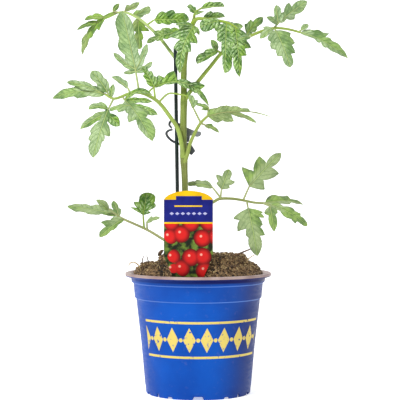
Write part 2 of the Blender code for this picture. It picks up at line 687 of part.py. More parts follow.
def upper_right_leaf():
    """The long leaf that climbs from the stem and spreads its leaflets at the far right."""
    rib = ((-12.8, 0.2, 258.0), (-9.4, -0.6, 265.0), (-1.2, -1.4, 275.8), (10.5, -2.0, 290.1),
           (20.9, -2.4, 302.6), (32.8, -3.0, 311.6), (45.3, -4.0, 317.4), (57.8, -5.0, 322.5),
           (68.0, -6.0, 325.0), (80.2, -7.0, 324.0), (91.4, -8.0, 321.1))
    fork = (72.6, -5.0, 330.4)
    leaflets = (
        blade(((91.4, -8.0, 321.1),), (133.8, -12.0, 298.1),
              ((0.09, 7, 2.2, 1.0), (0.22, 10.4, 2.4, 1.0), (0.35, 12, 4.4, 0.65), (0.46, 7.6, 7.2, 0.9),
               (0.61, 7, 6)), face=(0.1, -0.85, 0.5)),
        blade(((90.0, -7.9, 321.6), (92.0, -8.0, 323.2)), (98.6, -8.0, 328.2), ((0.40, 3.2, 3.2),)),
        blade(((68.0, -6.0, 325.0), (69.0, -7.0, 323.0)), (82.4, -26.0, 290.0),
              ((0.12, 12, 11, 0.85), (0.34, 13, 12.5, 0.85), (0.57, 10.5, 10), (0.78, 6, 6))),
        blade(((67.0, -6.0, 324.8),), (55.4, -10.0, 315.5), ((0.25, 4, 6.5), (0.56, 3.4, 4.2))),
        blade(((67.6, -6.0, 325.0), fork), (97.2, 6.0, 349.0),
              ((0.12, 6, 3.4), (0.36, 10.5, 8.5, 0.7), (0.64, 6.5, 7.5)),
              face=FACE_BELOW, under=True, arch=0.05),
        blade(((71.6, -5.2, 329.2),), (69.4, -9.0, 345.6), ((0.25, 4, 6.5), (0.55, 3.2, 5)),
              face=FACE_BELOW, under=True),
        blade(((71.0, -5.4, 328.4),), (60.8, -12.0, 335.0), ((0.40, 3.6, 3.6),)),
        blade(((43.8, -3.8, 316.8), (43.4, -2.0, 319.4)), (57.6, 10.0, 335.0),
              ((0.12, 8, 5, 0.9), (0.42, 7, 7), (0.70, 3.6, 6)), face=FACE_BELOW, under=True),
        blade(((45.3, -4.0, 317.4), (46.2, -14.0, 318.2), (46.5, -21.0, 317.0)), (36.0, -25.0, 315.0),
              ((0.40, 3.4, 3.4),)),
        blade(((20.9, -2.4, 302.6), (17.4, -3.2, 304.6)), (-1.0, -12.0, 293.0),
              ((0.24, 3, 7.4), (0.58, 3, 7.6)), arch=0.06),
        blade(((20.2, -2.3, 301.8), (17.0, -1.6, 305.4)), (11.4, 2.0, 314.7), ((0.40, 3.6, 3.8),),
              face=FACE_BELOW, under=True),
    )
    return rib, (2.0, 0.95), leaflets


def upper_left_leaf():
    """The leaf that passes behind the stake and hangs over at the far left."""
    rib = ((-12.6, 1.0, 284.0), (-16.0, 5.0, 292.6), (-21.4, 9.6, 299.4), (-34.4, 19.0, 316.4),
           (-45.9, 26.0, 327.7), (-54.0, 31.0, 334.0), (-64.6, 37.0, 339.0), (-71.8, 41.0, 338.8))
    hanging = (-0.3, -0.85, 0.45)
    leaflets = (
        # The leaflet at the far end, with the two lobes that spread from its arched midrib.
        blade(((-71.8, 41.0, 338.8),), (-103.5, 64.0, 301.1),
              ((0.14, 2.8, 2.4, 1.0), (0.36, 9, 3, 0.8), (0.47, 7.6, 3.4, 0.95), (0.58, 7.4, 4.6, 0.95),
               (0.72, 6.2, 7.2)),
              face=hanging, arch=0.05, bow=-9.6),
        blade(((-84.2, 49.0, 334.2),), (-101.7, 55.0, 332.1), ((0.34, 2.6, 5.6), (0.66, 2.2, 4.0)),
              face=hanging),
        blade(((-89.6, 53.0, 330.2),), (-108.4, 60.0, 323.4), ((0.34, 3.8, 3.6), (0.66, 3, 2.6)),
              face=hanging),
        blade(((-71.4, 40.8, 338.8), (-76.0, 42.0, 340.2)), (-70.4, 41.0, 347.0), ((0.36, 2.6, 3.2),)),
        # The leaflets behind the tall one.
        blade(((-64.6, 37.0, 339.0), (-65.4, 36.8, 341.0)), (-52.2, 36.0, 347.9),
              ((0.14, 5.6, 2.4), (0.48, 4.2, 3.2)), under=True),
        blade(((-58.0, 33.4, 336.0),), (-43.7, 38.0, 344.4), ((0.26, 4.8, 5.6), (0.60, 3.6, 6.4, 0.7)),
              under=True),
        blade(((-54.0, 31.0, 334.0),), (-52.1, 30.0, 306.2),
              ((0.14, 7.5, 6), (0.26, 11, 7, 0.5), (0.55, 5, 6), (0.80, 3.6, 4.4)), arch=-0.08),
        blade(((-45.9, 26.0, 327.7), (-38.9, 24.0, 332.5)), (-8.3, 12.0, 332.0),
              ((0.12, 8.5, 5), (0.38, 10.5, 6), (0.66, 8.5, 5)), face=(0.0, -1.0, 0.15), arch=0.05),
    )
    return rib, (1.8, 0.95), leaflets


def crown_left_leaf():
    """A young serrated leaf that points left from the crown."""
    rib = ((-7.4, 0.3, 318.0), (-11.0, 2.6, 321.0), (-15.0, 4.6, 321.6))
    leaflets = (
        blade(((-15.0, 4.6, 321.6),), (-46.0, 8.0, 312.0),
              ((0.10, 5, 6), (0.34, 6, 9.5, 0.75), (0.58, 6, 9, 0.75), (0.80, 4, 4)),
              face=(0.0, -0.85, 0.5)),
    )
    return rib, (1.2, 0.9), leaflets


def crown_right_leaf():
    """The young leaf that arches to the right and hangs its blades over the long leaf's stalk."""
    rib = ((-4.8, -0.6, 329.0), (-0.6, -4.4, 333.4), (7.0, -7.0, 333.0), (18.4, -10.6, 331.6),
           (26.6, -13.2, 329.6), (33.2, -15.0, 325.6), (40.5, -16.4, 318.8))
    leaflets = (
        blade(((25.2, -12.8, 330.0),), (23.6, -24.0, 284.8),
              ((0.08, 8, 11, 0.9), (0.30, 10, 9, 0.95), (0.54, 10, 4.6, 0.95), (0.76, 8.5, 3.4))),
        blade(((33.2, -15.0, 325.6),), (37.2, -27.0, 281.2),
              ((0.12, 11, 9, 0.9), (0.30, 13.5, 10, 0.8), (0.48, 9, 9.5, 0.9), (0.68, 3.6, 7)),
              face=(0.2, -0.9, 0.4), arch=0.05),
        blade(((19.6, -11.0, 331.4),), (1.6, -18.0, 325.4), ((0.20, 8, 5), (0.56, 9, 7))),
        blade(((4.0, -6.0, 333.0),), (24.1, 2.0, 335.0), ((0.25, 7, 3), (0.60, 5.5, 2)),
              face=FACE_BELOW, under=True),
        blade(((24.0, -12.4, 330.4),), (40.0, -6.0, 326.6), ((0.30, 5, 5), (0.66, 5, 4)),
              face=(0.0, -0.8, 0.6), under=True),
    )
    return rib, (1.7, 0.95), leaflets


def crown_front_leaf():
    """The young leaf that hangs down in front of the stem and the stake."""
    rib = ((-6.2, -0.3, 322.5), (-5.0, -4.0, 325.8), (-3.6, -8.0, 326.6))
    leaflets = (
        blade(((-3.6, -8.0, 326.6),), (-16.4, -22.0, 284.3),
              ((0.05, 6, 13, 0.8), (0.24, 12, 17.5, 0.55), (0.46, 9, 10, 0.8), (0.70, 4.6, 6)), bow=-3.0),
        blade(((-4.2, -7.0, 326.4),), (-20.4, -16.0, 327.6), ((0.30, 2.2, 3.6), (0.64, 2, 3)),
              face=(0.0, -0.85, 0.5)),
        blade(((-3.7, -7.8, 326.5),), (1.0, -10.0, 318.6), ((0.40, 2.6, 2),)),
    )
    return rib, (1.1, 0.85), leaflets


def crown_top_leaf():
    """The youngest leaf, standing up from the growing tip."""
    rib = ((-3.6, 0.5, 333.0), (-4.0, 2.6, 336.0), (-1.4, 3.6, 340.0), (3.6, 4.4, 343.2))
    leaflets = (
        blade(((3.0, 4.3, 342.8),), (23.6, 6.0, 344.2), ((0.30, 5.6, 1.6), (0.66, 5.4, 1.2)),
              face=(0.0, -0.95, 0.3)),
        blade(((-2.4, 3.3, 338.6),), (-8.8, 5.0, 345.6), ((0.30, 4, 3.8), (0.66, 3.2, 3))),
        blade(((-3.6, 2.9, 336.8),), (5.6, 0.0, 339.8), ((0.40, 1.8, 1.8),)),
    )
    return rib, (1.0, 0.8), leaflets


def lower_right_leaf():
    """The lower leaf on the right, with broad leaflets above and below its stalk."""
    rib = ((-11.4, 0.6, 155.0), (-7.0, 3.4, 160.0), (2.0, 7.0, 165.0), (13.1, 10.0, 169.4),
           (19.2, 12.0, 172.4), (29.2, 15.0, 172.6), (38.7, 18.0, 171.4), (50.6, 22.0, 169.0),
           (60.0, 25.0, 168.6))
    leaflets = (
        blade(((60.0, 25.0, 168.6),), (93.9, 44.0, 167.3), ((0.15, 9, 5), (0.48, 7.5, 5), (0.74, 4, 3)),
              face=(0.0, -0.75, 0.65)),
        blade(((59.0, 24.6, 168.6), (64.6, 24.0, 167.0)), (97.6, 20.0, 148.2),
              ((0.12, 5, 4), (0.42, 7, 7.6), (0.60, 7.4, 8.1), (0.78, 5, 5)), face=(0.1, -0.8, 0.6)),
        blade(((58.0, 24.4, 168.6), (64.2, 21.0, 165.6)), (67.8, 10.0, 143.0),
              ((0.20, 6.5, 7, 0.7), (0.55, 5.2, 4.6))),
        blade(((45.8, 15.5, 160.2),), (59.2, 10.0, 155.6), ((0.30, 3, 2.4), (0.65, 2.6, 2.2))),
        blade(((40.2, 18.6, 171.2), (45.6, 21.0, 183.3)), (74.1, 34.0, 213.4),
              ((0.07, 18, 13, 0.5), (0.44, 14.5, 14, 0.6), (0.70, 6, 6)), face=(0.1, -0.9, 0.3)),
        blade(((43.4, 19.6, 170.4), (44.6, 17.0, 164.1)), (52.8, 2.0, 121.2),
              ((0.06, 13, 16, 0.7), (0.30, 11, 15.5, 0.75), (0.48, 12, 8.5, 0.8), (0.66, 8, 8))),
        blade(((19.8, 12.2, 172.4), (20.8, 14.0, 180.8)), (28.0, 20.0, 198.6),
              ((0.08, 7, 7, 0.8), (0.30, 10.5, 10), (0.62, 5, 5)), face=(0.0, -0.95, 0.2)),
        blade(((20.6, 12.6, 172.6), (12.8, 12.0, 182.6)), (-9.2, 12.0, 184.9),
              ((0.26, 4.5, 8), (0.56, 4, 6), (0.80, 2.4, 3)), face=(0.0, -0.8, 0.6)),
    )
    return rib, (1.7, 0.95), leaflets


def lower_left_leaf():
    """The lowest leaf, which rises from the stem's foot to the left."""
    rib = ((-11.2, -0.4, 127.0), (-15.0, -1.2, 128.4), (-20.6, -0.6, 130.6), (-29.9, 6.0, 135.4),
           (-45.7, 16.0, 144.7), (-66.9, 27.0, 154.3), (-72.6, 30.0, 157.8))
    leaflets = (
        blade(((-72.6, 30.0, 157.8),), (-117.1, 50.0, 165.9),
              ((0.15, 4, 6), (0.40, 8, 8), (0.66, 7.5, 6.5)), face=(0.0, -0.7, 0.7), arch=0.03),
        blade(((-72.0, 29.8, 157.4), (-80.0, 27.0, 163.0)), (-91.4, 20.0, 171.6), ((0.35, 4.4, 4.4),)),
        blade(((-71.0, 29.2, 156.8),), (-75.6, 34.0, 170.8), ((0.30, 5.5, 4), (0.60, 5, 2.6)),
              face=FACE_BELOW, under=True),
        blade(((-66.9, 27.0, 154.3),), (-88.1, 16.0, 137.9),
              ((0.14, 2.6, 7.5, 0.95), (0.44, 4.6, 11.5, 0.8), (0.70, 4, 5.5))),
        blade(((-48.4, 17.2, 146.0), (-49.2, 20.0, 157.8)), (-45.7, 26.0, 178.0),
              ((0.05, 13, 7, 0.6), (0.26, 11.5, 11.5, 0.9), (0.52, 7.5, 10.5)), face=(0.0, -0.95, 0.1)),
        blade(((-45.7, 16.0, 144.7), (-45.9, 13.0, 151.5)), (-34.0, 8.0, 155.4),
              ((0.30, 4.2, 3.4), (0.62, 2.6, 2.4)), face=(0.0, -0.8, 0.6)),
    )
    return rib, (1.6, 0.95), leaflets


LEAVES = {
    "leaf_lower_left": lower_left_leaf,
    "leaf_lower_right": lower_right_leaf,
    "leaf_mid_left": mid_left_leaf,
    "leaf_mid_right": mid_right_leaf,
    "leaf_upper_left": upper_left_leaf,
    "leaf_upper_right": upper_right_leaf,
    "leaf_crown_left": crown_left_leaf,
    "leaf_crown_right": crown_right_leaf,
    "leaf_crown_front": crown_front_leaf,
    "leaf_crown_top": crown_top_leaf,
}


def main():
    clear_scene()
    parts = new_collection("potted_tomato_plant")
    cutters = new_collection("cutters")
    scraps = new_collection("fusing")
    blue = new_material("pot_blue", (0.02, 0.10, 0.55), 0.35)
    peat = new_material("peat", (0.09, 0.055, 0.03), 0.95)
    green_stake = new_material("stake_green", (0.008, 0.03, 0.025), 0.35)
    stem_green = new_material("stem_green", (0.25, 0.36, 0.06), 0.5)
    leaf_green = new_material("leaf_green", (0.13, 0.33, 0.06), 0.5)
    clip_grey = new_material("clip_grey", (0.07, 0.075, 0.08), 0.45)
    tag_plastic = new_material("tag_plastic", (0.75, 0.6, 0.12), 0.35)

    stem_room = stem_clearance(cutters)
    stake_room = stake_clearance(cutters)
    label_room = label_clearance(cutters)
    finish(make_pot(parts, cutters), blue)
    finish(make_soil(parts, (stem_room, stake_room, label_room)), peat, 180.0)
    finish(make_stake(parts), green_stake)
    finish(make_stem(parts), stem_green)
    finish(make_clip(parts, (stem_room, stake_room), scraps), clip_grey)
    finish(make_label(parts), tag_plastic, 30.0)
    for name, design in LEAVES.items():
        rib, radii, leaflets = design()
        finish(make_leaf(name, rib, radii, leaflets, parts, scraps, (stem_room,)), leaf_green)


main()
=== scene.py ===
"""Dresses the potted tomato plant: fine leaves, hairy stems, peat, pot, label, stake and clip."""

import math
import random

import bmesh
import bpy
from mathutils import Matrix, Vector, noise


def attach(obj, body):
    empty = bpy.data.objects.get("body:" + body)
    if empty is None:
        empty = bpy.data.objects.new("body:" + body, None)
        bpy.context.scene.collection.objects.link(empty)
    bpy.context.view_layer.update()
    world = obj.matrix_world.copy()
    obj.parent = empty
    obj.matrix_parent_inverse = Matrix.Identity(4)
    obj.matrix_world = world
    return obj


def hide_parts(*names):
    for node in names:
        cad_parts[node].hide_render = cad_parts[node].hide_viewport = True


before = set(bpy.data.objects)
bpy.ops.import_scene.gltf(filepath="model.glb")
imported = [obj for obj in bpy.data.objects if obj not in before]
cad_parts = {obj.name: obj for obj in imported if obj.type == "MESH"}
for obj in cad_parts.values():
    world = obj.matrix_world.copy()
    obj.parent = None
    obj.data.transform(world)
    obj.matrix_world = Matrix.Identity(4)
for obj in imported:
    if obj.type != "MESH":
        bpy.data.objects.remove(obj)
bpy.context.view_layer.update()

# Sizes are in millimetres unless a comment says otherwise.
MM = 0.001
EYE_DISTANCE = 1150
EYE_HEIGHT = 188

# The pot, as radii and heights.
RIM_RADIUS = 65
POT_HEIGHT = 107
LIP_HEIGHT = 3.2
COLLAR_RADIUS = 59.8
COLLAR_FOOT = 98.2
UPPER_RADIUS = 57.8
STEP_FOOT = 84.4
BODY_RADIUS = 55.3
WAIST_RADIUS = 50.7
WAIST_HEIGHT = 44
FOOT_RADIUS = 46.3
FOOT_FLARE_TOP = 8
WALL = 1.3
FLOOR_UNDERSIDE = 3.4
FLOOR_TOP = 4.9
POT_STEPS = 144
DRAIN_COUNT = 8
DRAIN_RADIUS = 3.2
DRAIN_CIRCLE = 34

# The soil: a root ball standing proud of the fill round it.
BALL_CENTRE = 4.8
BALL_RADIUS = 39.4
BALL_TOP = 121.5
FILL_TOP = 114
FILL_EDGE = 106.2
LABEL_HOLLOW = 103.6
# Where a painted shadow lies on the peat beside the label.
LABEL_SHADOW_X = -30.8
LABEL_SHADOW_Y = -24
SOIL_FOOT = 5.3
SOIL_GAP = 0.6
SOIL_RINGS = 62
SOIL_STEPS = 150
SOIL_SEED = 11
CRUMB_COUNT = 3000
FIBRE_COUNT = 600

# The stake and the main stem, as (x, depth, z) and radius, and the heights where leaves join.
STAKE_RADIUS = 1.65
STAKE_FOOT = (-16.2, 3.6, 14)
STAKE_TOP = (-20.5, 3.6, 308.5)
STEM = (
    ((-10.6, 0, 62), 2.4), ((-11, 0, 122), 2.6), ((-11.4, 0, 160), 2.7), ((-12, 0, 190), 2.8),
    ((-13.2, 0, 216), 3.1), ((-13.3, 0, 240), 3.1), ((-12.8, 0, 262), 2.9), ((-12.9, 0, 284), 2.5),
    ((-11.2, 0, 302), 2.2), ((-7.4, 0, 319), 1.9), ((-4.4, 0, 331), 1.5), ((-3.2, 0, 336), 0.7),
)
STEM_SEED = 3
STEM_JOINTS = (127, 155, 205, 210, 258, 284, 318, 322.5, 329)

# The label.
LABEL_DEPTH = -47
LABEL_CENTRE = -8.4
LABEL_HALF_WIDTH = 21
LABEL_THICKNESS = 0.8
LABEL_ARCH_FOOT = 172
LABEL_ARCH_TOP = 180
LABEL_TAPER_TOP = 124
LABEL_TONGUE_TOP = 103
LABEL_TONGUE_HALF_WIDTH = 12
LABEL_TIP = 72
LABEL_TIP_HALF_WIDTH = 2.5

# Heights on the label's print, and how far its parts reach.
TAB_TOP = 175.4
TAB_LEFT = -19.1
TAB_RIGHT = 3.1
PANEL_TOP = 172.3
BAR_HEIGHT = 166.8
BAR_REACH = 11.9
GEMS_HEIGHT = 160.4
GEMS_REACH = 16.2
STRIPE_TOP = 153.1
PICTURE_TOP = 151.7

# The pot's taupe edge, the foot of the painted shade band below it, and the row of motifs, as heights and
# as turns from the front in radians.
TAUPE_FOOT = 104.65
SHADE_FOOT = 100.6
MOTIF_HEIGHT = 52
MOTIF_LINE = 15
MOTIF_PER_RADIAN = 3.4
MOTIF_FROM = -1.02
MOTIF_TO = 1.25

# The leaf blades. Slants are in degrees.
BLADE_ROOT = 1
NOTCH = 0.85
SLANT_AT_BASE = 72
SLANT_AT_TIP = 38
FOLD = 0.12
VEIN_SWEEP = 0.09
COLUMN_STEP = 0.6
ROWS = 7
WIDTH = 2 * ROWS + 1
FACE_FRONT = (0, -0.9, 0.4)
FACE_BELOW = (0, -0.86, -0.5)
FACE_HANGING = (-0.3, -0.85, 0.45)
PLAIN = (0.5, 0)

# The order of the materials on a leaf and on the soil.
UPPER, UNDER, STALK, HAIR = range(4)
PEAT, FIBRE, BARK = range(3)

# A tone is how fresh and how grey the green is, the side veins' spacing and the quilting's height.
TONES = {"p": (0.3, 1, 5.2, 0.45), "g": (0.4, 0.75, 5.4, 0.45), "m": (0.4, 0.5, 5.2, 0.5),
         "f": (1, 0.25, 4.4, 1.8), "o": (0.1, 0.1, 5.2, 0.45), "r": (0.08, 0.62, 5.2, 0.45),
         "c": (0.6, 0, 4.2, 1.2), "y": (0.9, 0, 6, 0.35)}


def spot(point):
    """A point of the front elevation, slid along its line of sight to its depth."""
    x, depth, z = point
    spread = 1 + depth / EYE_DISTANCE
    return Vector((x * spread, depth, EYE_HEIGHT + (z - EYE_HEIGHT) * spread))


def mix(low, high, share):
    return low + (high - low) * share


def smooth(low, high, value):
    """Rises from 0 at low to 1 at high without a corner."""
    share = min(1, max(0, (value - low) / (high - low)))
    return share * share * (3 - 2 * share)


def circle(radius, height, steps, shift=0):
    """Points round the pot's axis. shift is a share of one step."""
    turns = [math.tau * (step + shift) / steps for step in range(steps)]
    return [(radius * math.cos(turn), radius * math.sin(turn), height) for turn in turns]


def spots(points):
    return [spot(point) for point in points]


def curve_through(points, steps):
    """A smooth run of points through the given ones, with steps between each two."""
    found = []
    last = len(points) - 1
    for index in range(last):
        before = points[max(index - 1, 0)]
        start = points[index]
        end = points[index + 1]
        after = points[min(index + 2, last)]
        for step in range(steps):
            t = step / steps
            found.append(0.5 * ((2 * start) + (end - before) * t
                                + (2 * before - 5 * start + 4 * end - after) * t * t
                                + (3 * start - before - 3 * end + after) * t * t * t))
    return found + [points[last]]


def values_through(values, steps):
    found = []
    for low, high in zip(values, values[1:]):
        found += [mix(low, high, step / steps) for step in range(steps)]
    return found + [values[-1]]


# Mesh pieces

class Sheet:
    """Points, faces and what each carries, gathered before one mesh is made."""

    def __init__(self):
        self.points = []
        self.faces = []
        self.slots = []
        self.veins = []
        self.tones = []
        self.margins = []

    def add_point(self, point, vein=(0, 0), tone=PLAIN, margin=0):
        self.points.append(point)
        self.veins.append(vein)
        self.tones.append(tone)
        self.margins.append(margin)
        return len(self.points) - 1

    def add_ring(self, points):
        return [self.add_point(Vector(point)) for point in points]

    def add_face(self, face, slot=0):
        self.faces.append(face)
        self.slots.append(slot)

    def skin(self, rings, slots=(0,)):
        """Faces from each ring of corners to the next. Corners that coincide are taken once."""
        for near, far in zip(rings, rings[1:]):
            for index, corner in enumerate(near):
                after = (index + 1) % len(near)
                corners = dict.fromkeys((corner, near[after], far[after], far[index]))
                if len(corners) > 2:
                    self.add_face(list(corners), slots[index % len(slots)])

    def fan(self, ring, top, slot=0):
        """Faces from a ring of corners to one point."""
        for index, corner in enumerate(ring):
            self.add_face((corner, ring[(index + 1) % len(ring)], top), slot)


def place(piece):
    bpy.context.scene.collection.objects.link(piece)
    return piece


def piece_from_sheet(name, sheet, materials, angle=60):
    mesh = bpy.data.meshes.new(name)
    mesh.from_pydata([point * MM for point in sheet.points], [], sheet.faces)
    for material in materials:
        mesh.materials.append(material)
    mesh.polygons.foreach_set("material_index", sheet.slots)
    fresh, grey = zip(*sheet.tones)
    for attribute, values in (("tone", fresh), ("pale", grey), ("margin", sheet.margins)):
        mesh.attributes.new(attribute, "FLOAT", "POINT").data.foreach_set("value", values)
    uv = mesh.uv_layers.new(name="Vein")
    for loop in mesh.loops:
        uv.data[loop.index].uv = sheet.veins[loop.vertex_index]
    turned = bmesh.new()
    turned.from_mesh(mesh)
    bmesh.ops.recalc_face_normals(turned, faces=turned.faces)
    turned.to_mesh(mesh)
    turned.free()
    mesh.shade_smooth()
    mesh.set_sharp_from_angle(angle=math.radians(angle))
    return place(bpy.data.objects.new(name, mesh))


def dress(piece, node):
    """Hangs the piece on the root body and hides the CAD part of the node it stands for."""
    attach(piece, "root")
    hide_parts(node)


def add_tube(sheet, points, radii, sides, tone=PLAIN, slot=0, ridges=0):
    """A closed round tube with domed ends, laid along the points without twisting."""
    last = len(points) - 1
    heading = (points[1] - points[0]).normalized()
    normal = heading.orthogonal().normalized()
    rings = []
    travelled = 0
    for index, (point, radius) in enumerate(zip(points, radii)):
        if index:
            travelled += (point - points[index - 1]).length
            heading = (points[min(index + 1, last)] - points[index - 1]).normalized()
        normal = (normal - heading * normal.dot(heading)).normalized()
        side = heading.cross(normal)
        ring = []
        for corner in range(sides):
            angle = math.tau * corner / sides
            reach = radius * (1 + ridges * math.cos(angle * 5 + travelled * 0.02))
            offset = normal * (math.cos(angle) * reach) + side * (math.sin(angle) * reach)
            ring.append(sheet.add_point(point + offset, (travelled * 0.1, corner / sides), tone))
        rings.append(ring)
    sheet.skin(rings, (slot,))
    for end, inner in ((0, 1), (-1, -2)):
        ahead = (points[end] - points[inner]).normalized()
        dome = sheet.add_point(points[end] + ahead * (radii[end] * 0.5), tone=tone)
        sheet.fan(rings[end], dome, slot)


def add_hairs(sheet, points, radii, each, length, draw, slot):
    """Fine hairs that stand out of a stem, each a slender three-sided spike."""
    for index in range(1, len(points) - 1):
        ahead = (points[index + 1] - points[index]).normalized()
        normal = ahead.orthogonal().normalized()
        side = ahead.cross(normal)
        for _ in range(each):
            angle = draw.uniform(0, math.tau)
            out = normal * math.cos(angle) + side * math.sin(angle)
            foot = points[index].lerp(points[index + 1], draw.random()) + out * (radii[index] * 0.92)
            way = (out + ahead * draw.uniform(-0.5, 0.5)).normalized()
            tip = foot + way * (length * draw.uniform(0.6, 1.3))
            first = way.orthogonal().normalized() * 0.06
            second = way.cross(first)
            base = sheet.add_ring((foot + first, foot - first * 0.5 + second * 0.87,
                                   foot - first * 0.5 - second * 0.87))
            sheet.add_face(base, slot)
            sheet.fan(base, sheet.add_point(tip), slot)


# Leaf blades

class Blade:
    """One leaflet. line runs from the rib that carries it to the blade's base, and last to its
    tip. lobes are (percent of the length where the side vein leaves, reach to the left, reach to
    the right, and sometimes how far in the edge comes before the next lobe), seen from the front
    with the tip ahead. face is the normal of the side seen from the front, and under says that
    this is the leaf's underside. arch and bow bend the midrib out of and in the blade's plane."""

    def __init__(self, line, lobes, face=FACE_FRONT, arch=0.1, bow=0, under=False):
        *self.stalk, tip = spots(line)
        self.base = self.stalk[-1]
        self.chord = tip - self.base
        self.length = self.chord.length
        self.lobes = lobes
        self.arch = arch * self.length
        self.bow = bow
        ahead = self.chord.normalized()
        seen = Vector(face)
        seen = (seen - ahead * seen.dot(ahead)).normalized()
        self.left = seen.cross(ahead)
        self.upper = -seen if under else seen

    def midrib(self, share):
        swell = 4 * share * (1 - share)
        straight = self.base + self.chord * share
        return straight + self.upper * (self.arch * swell) + self.left * (self.bow * swell)

    def corners(self):
        """Base, lobes, notches and tip, as (share, left reach, right reach, kind)."""
        found = [(0, BLADE_ROOT, BLADE_ROOT, "base")]
        for index, (percent, left, right, *notch) in enumerate(self.lobes):
            share = percent / 100
            found.append((share, left, right, "lobe"))
            for next_percent, next_left, next_right, *_ in self.lobes[index + 1:index + 2]:
                depth = notch[0] if notch else NOTCH
                found.append((mix(share, next_percent / 100, 0.4), depth * min(left, next_left),
                              depth * min(right, next_right), "notch"))
        return found + [(1, 0, 0, "tip")]

    def columns(self):
        """Shares along the blade, close together, with both reaches of the edge at each."""
        corners = self.corners()
        found = [(0, BLADE_ROOT, BLADE_ROOT)]
        for near, far in zip(corners, corners[1:]):
            steps = max(3, math.ceil((far[0] - near[0]) * self.length / COLUMN_STEP))
            for step in range(1, steps + 1):
                t = step / steps
                found.append((mix(near[0], far[0], t), reach_between(near[1], far[1], t, far[3]),
                              reach_between(near[2], far[2], t, far[3])))
        return found[:-1]


def reach_between(start, end, share, kind):
    """How far the edge stands out between two corners."""
    if kind == "lobe" and end > start:
        return start + (end - start) * math.sin(math.pi / 2 * share) ** 0.6
    if kind == "tip":
        return start * (1 - share ** 1.65)
    return mix(start, end, share)


def tooth(along, reach, share, offset):
    """Small uneven teeth along the edge, two to each side vein."""
    room = min(1, share / 0.12) * min(1, (1 - share) / 0.1)
    size = 0.055 + 0.045 * math.sin(along * 3.7 + offset * 9)
    return size * min(reach, 7) * (((along * 2 + 0.5) % 1) ** 1.3 - 0.45) * room


def add_blade(sheet, blade, draw, tone, spacing, relief):
    """A thin closed blade: two quilted faces with a rim between them."""
    look = {"veins": max(3, round(blade.length / spacing)), "relief": relief, "tone": tone,
            "offsets": (draw.random(), draw.random()),
            "wave": (draw.uniform(0, math.tau), draw.uniform(0, math.tau))}
    columns = [blade_column(sheet, blade, share, reaches, look) for share, *reaches in blade.columns()]
    tips = [sheet.add_point(blade.midrib(1) + blade.upper * (half * 0.12), (look["veins"], 0), tone, 1)
            for half in (1, -1)]
    # Each ring runs over the upper face and back below.
    rings = [top + below[::-1] for top, below in columns]
    sheet.skin(rings, [UPPER] * WIDTH + [UNDER] * (WIDTH - 1) + [UPPER])
    first, last = columns[0], columns[-1]
    for index in range(WIDTH - 1):
        after = index + 1
        sheet.add_face((first[0][after], first[0][index], first[1][index], first[1][after]))
        sheet.add_face((last[0][index], last[0][after], tips[0]))
        sheet.add_face((last[1][after], last[1][index], tips[1]), UNDER)
    for index in (0, WIDTH - 1):
        sheet.add_face((last[0][index], last[1][index], tips[1], tips[0]))


def blade_column(sheet, blade, share, reaches, look):
    """The points across the blade that a pair of side veins passes through, above and below."""
    step = 0.02
    relief = look["relief"]
    upper = blade.upper
    ahead = (blade.midrib(min(share + step, 1)) - blade.midrib(max(share - step, 0))).normalized()
    across = (blade.left - ahead * blade.left.dot(ahead)).normalized()
    slant = math.radians(mix(SLANT_AT_BASE, SLANT_AT_TIP, share))
    middle = blade.midrib(share)
    top = []
    below = []
    for row in range(-ROWS, ROWS + 1):
        side, which = (-1, 1) if row < 0 else (1, 0)
        along = share * look["veins"] + which * 0.4
        v = abs(row) / ROWS
        reach = reaches[which]
        toothed = reach + tooth(along, reach, share, look["offsets"][which]) * v
        reach = max(0.2, 0.5 * (1 - share ** 6), toothed)
        out = v * reach
        swept = along - VEIN_SWEEP * out
        puff = abs(math.sin(math.pi * swept)) ** 0.5 - 0.6
        # Small pillows between the finer veins that cross from one side vein to the next.
        puff += 0.5 * relief * noise.noise(Vector((along * 2.2, side * out * 0.55 + 7, blade.base.x)))
        lift = FOLD * out - 0.012 * out * out
        lift += relief * min(1, reach / 6) * puff * smooth(0, 1.6, out) * (1 - v ** 4)
        lift += 0.07 * reach * v * v * math.sin(share * blade.length * 0.55 + look["wave"][which])
        lift -= 0.035 * reach * v ** 6
        lift -= 0.22 * (1 - smooth(0, 1, out))
        point = middle + ahead * (reach * math.cos(slant) * v ** 1.15)
        point += across * (side * reach * math.sin(slant) * v) + upper * lift
        half = upper * mix(0.3, 0.13, v)
        vein = (swept, side * out * 0.1)
        top.append(sheet.add_point(point + half, vein, look["tone"], v))
        below.append(sheet.add_point(point - half, vein, look["tone"], v))
    return top, below


def add_rib(sheet, blade, tone):
    """The leaflet's stalk, run on under the blade as its tapering midrib."""
    along = [blade.midrib(share) - blade.upper * (0.28 * smooth(0, 0.2, share))
             for share in (0.06, 0.2, 0.35, 0.5, 0.65, 0.8, 0.93)]
    points = curve_through(blade.stalk + along, 4)
    bare = 4 * (len(blade.stalk) - 1)
    under = len(points) - 1 - bare
    radii = [mix(0.95, 0.72, index / bare) for index in range(bare)]
    radii += [mix(0.62, 0.14, index / under) for index in range(under + 1)]
    add_tube(sheet, points, radii, 8, tone, STALK)


def make_foliage(name, materials):
    tones, rib_tone, thickness, rib, *blades = LEAVES[name]
    draw = random.Random(len(name) * 7 + len(tones))
    sheet = Sheet()
    points = curve_through(spots(rib), 6)
    # The stalk swells where it joins the stem.
    radii = [mix(*thickness, index / (len(points) - 1)) * (1 + 0.35 * (1 - smooth(0, 5, index)))
             for index in range(len(points))]
    add_tube(sheet, points, radii, 14, rib_tone, STALK, ridges=0.05)
    add_hairs(sheet, points, radii, 5, 0.9, draw, HAIR)
    for blade, letter in zip(blades, tones):
        fresh, grey, spacing, relief = TONES[letter]
        tone = (min(1, max(0, fresh + draw.uniform(-0.08, 0.08))), grey)
        add_blade(sheet, blade, draw, tone, spacing, relief)
        add_rib(sheet, blade, tone)
    dress(piece_from_sheet("foliage_" + name[5:], sheet, materials), name)


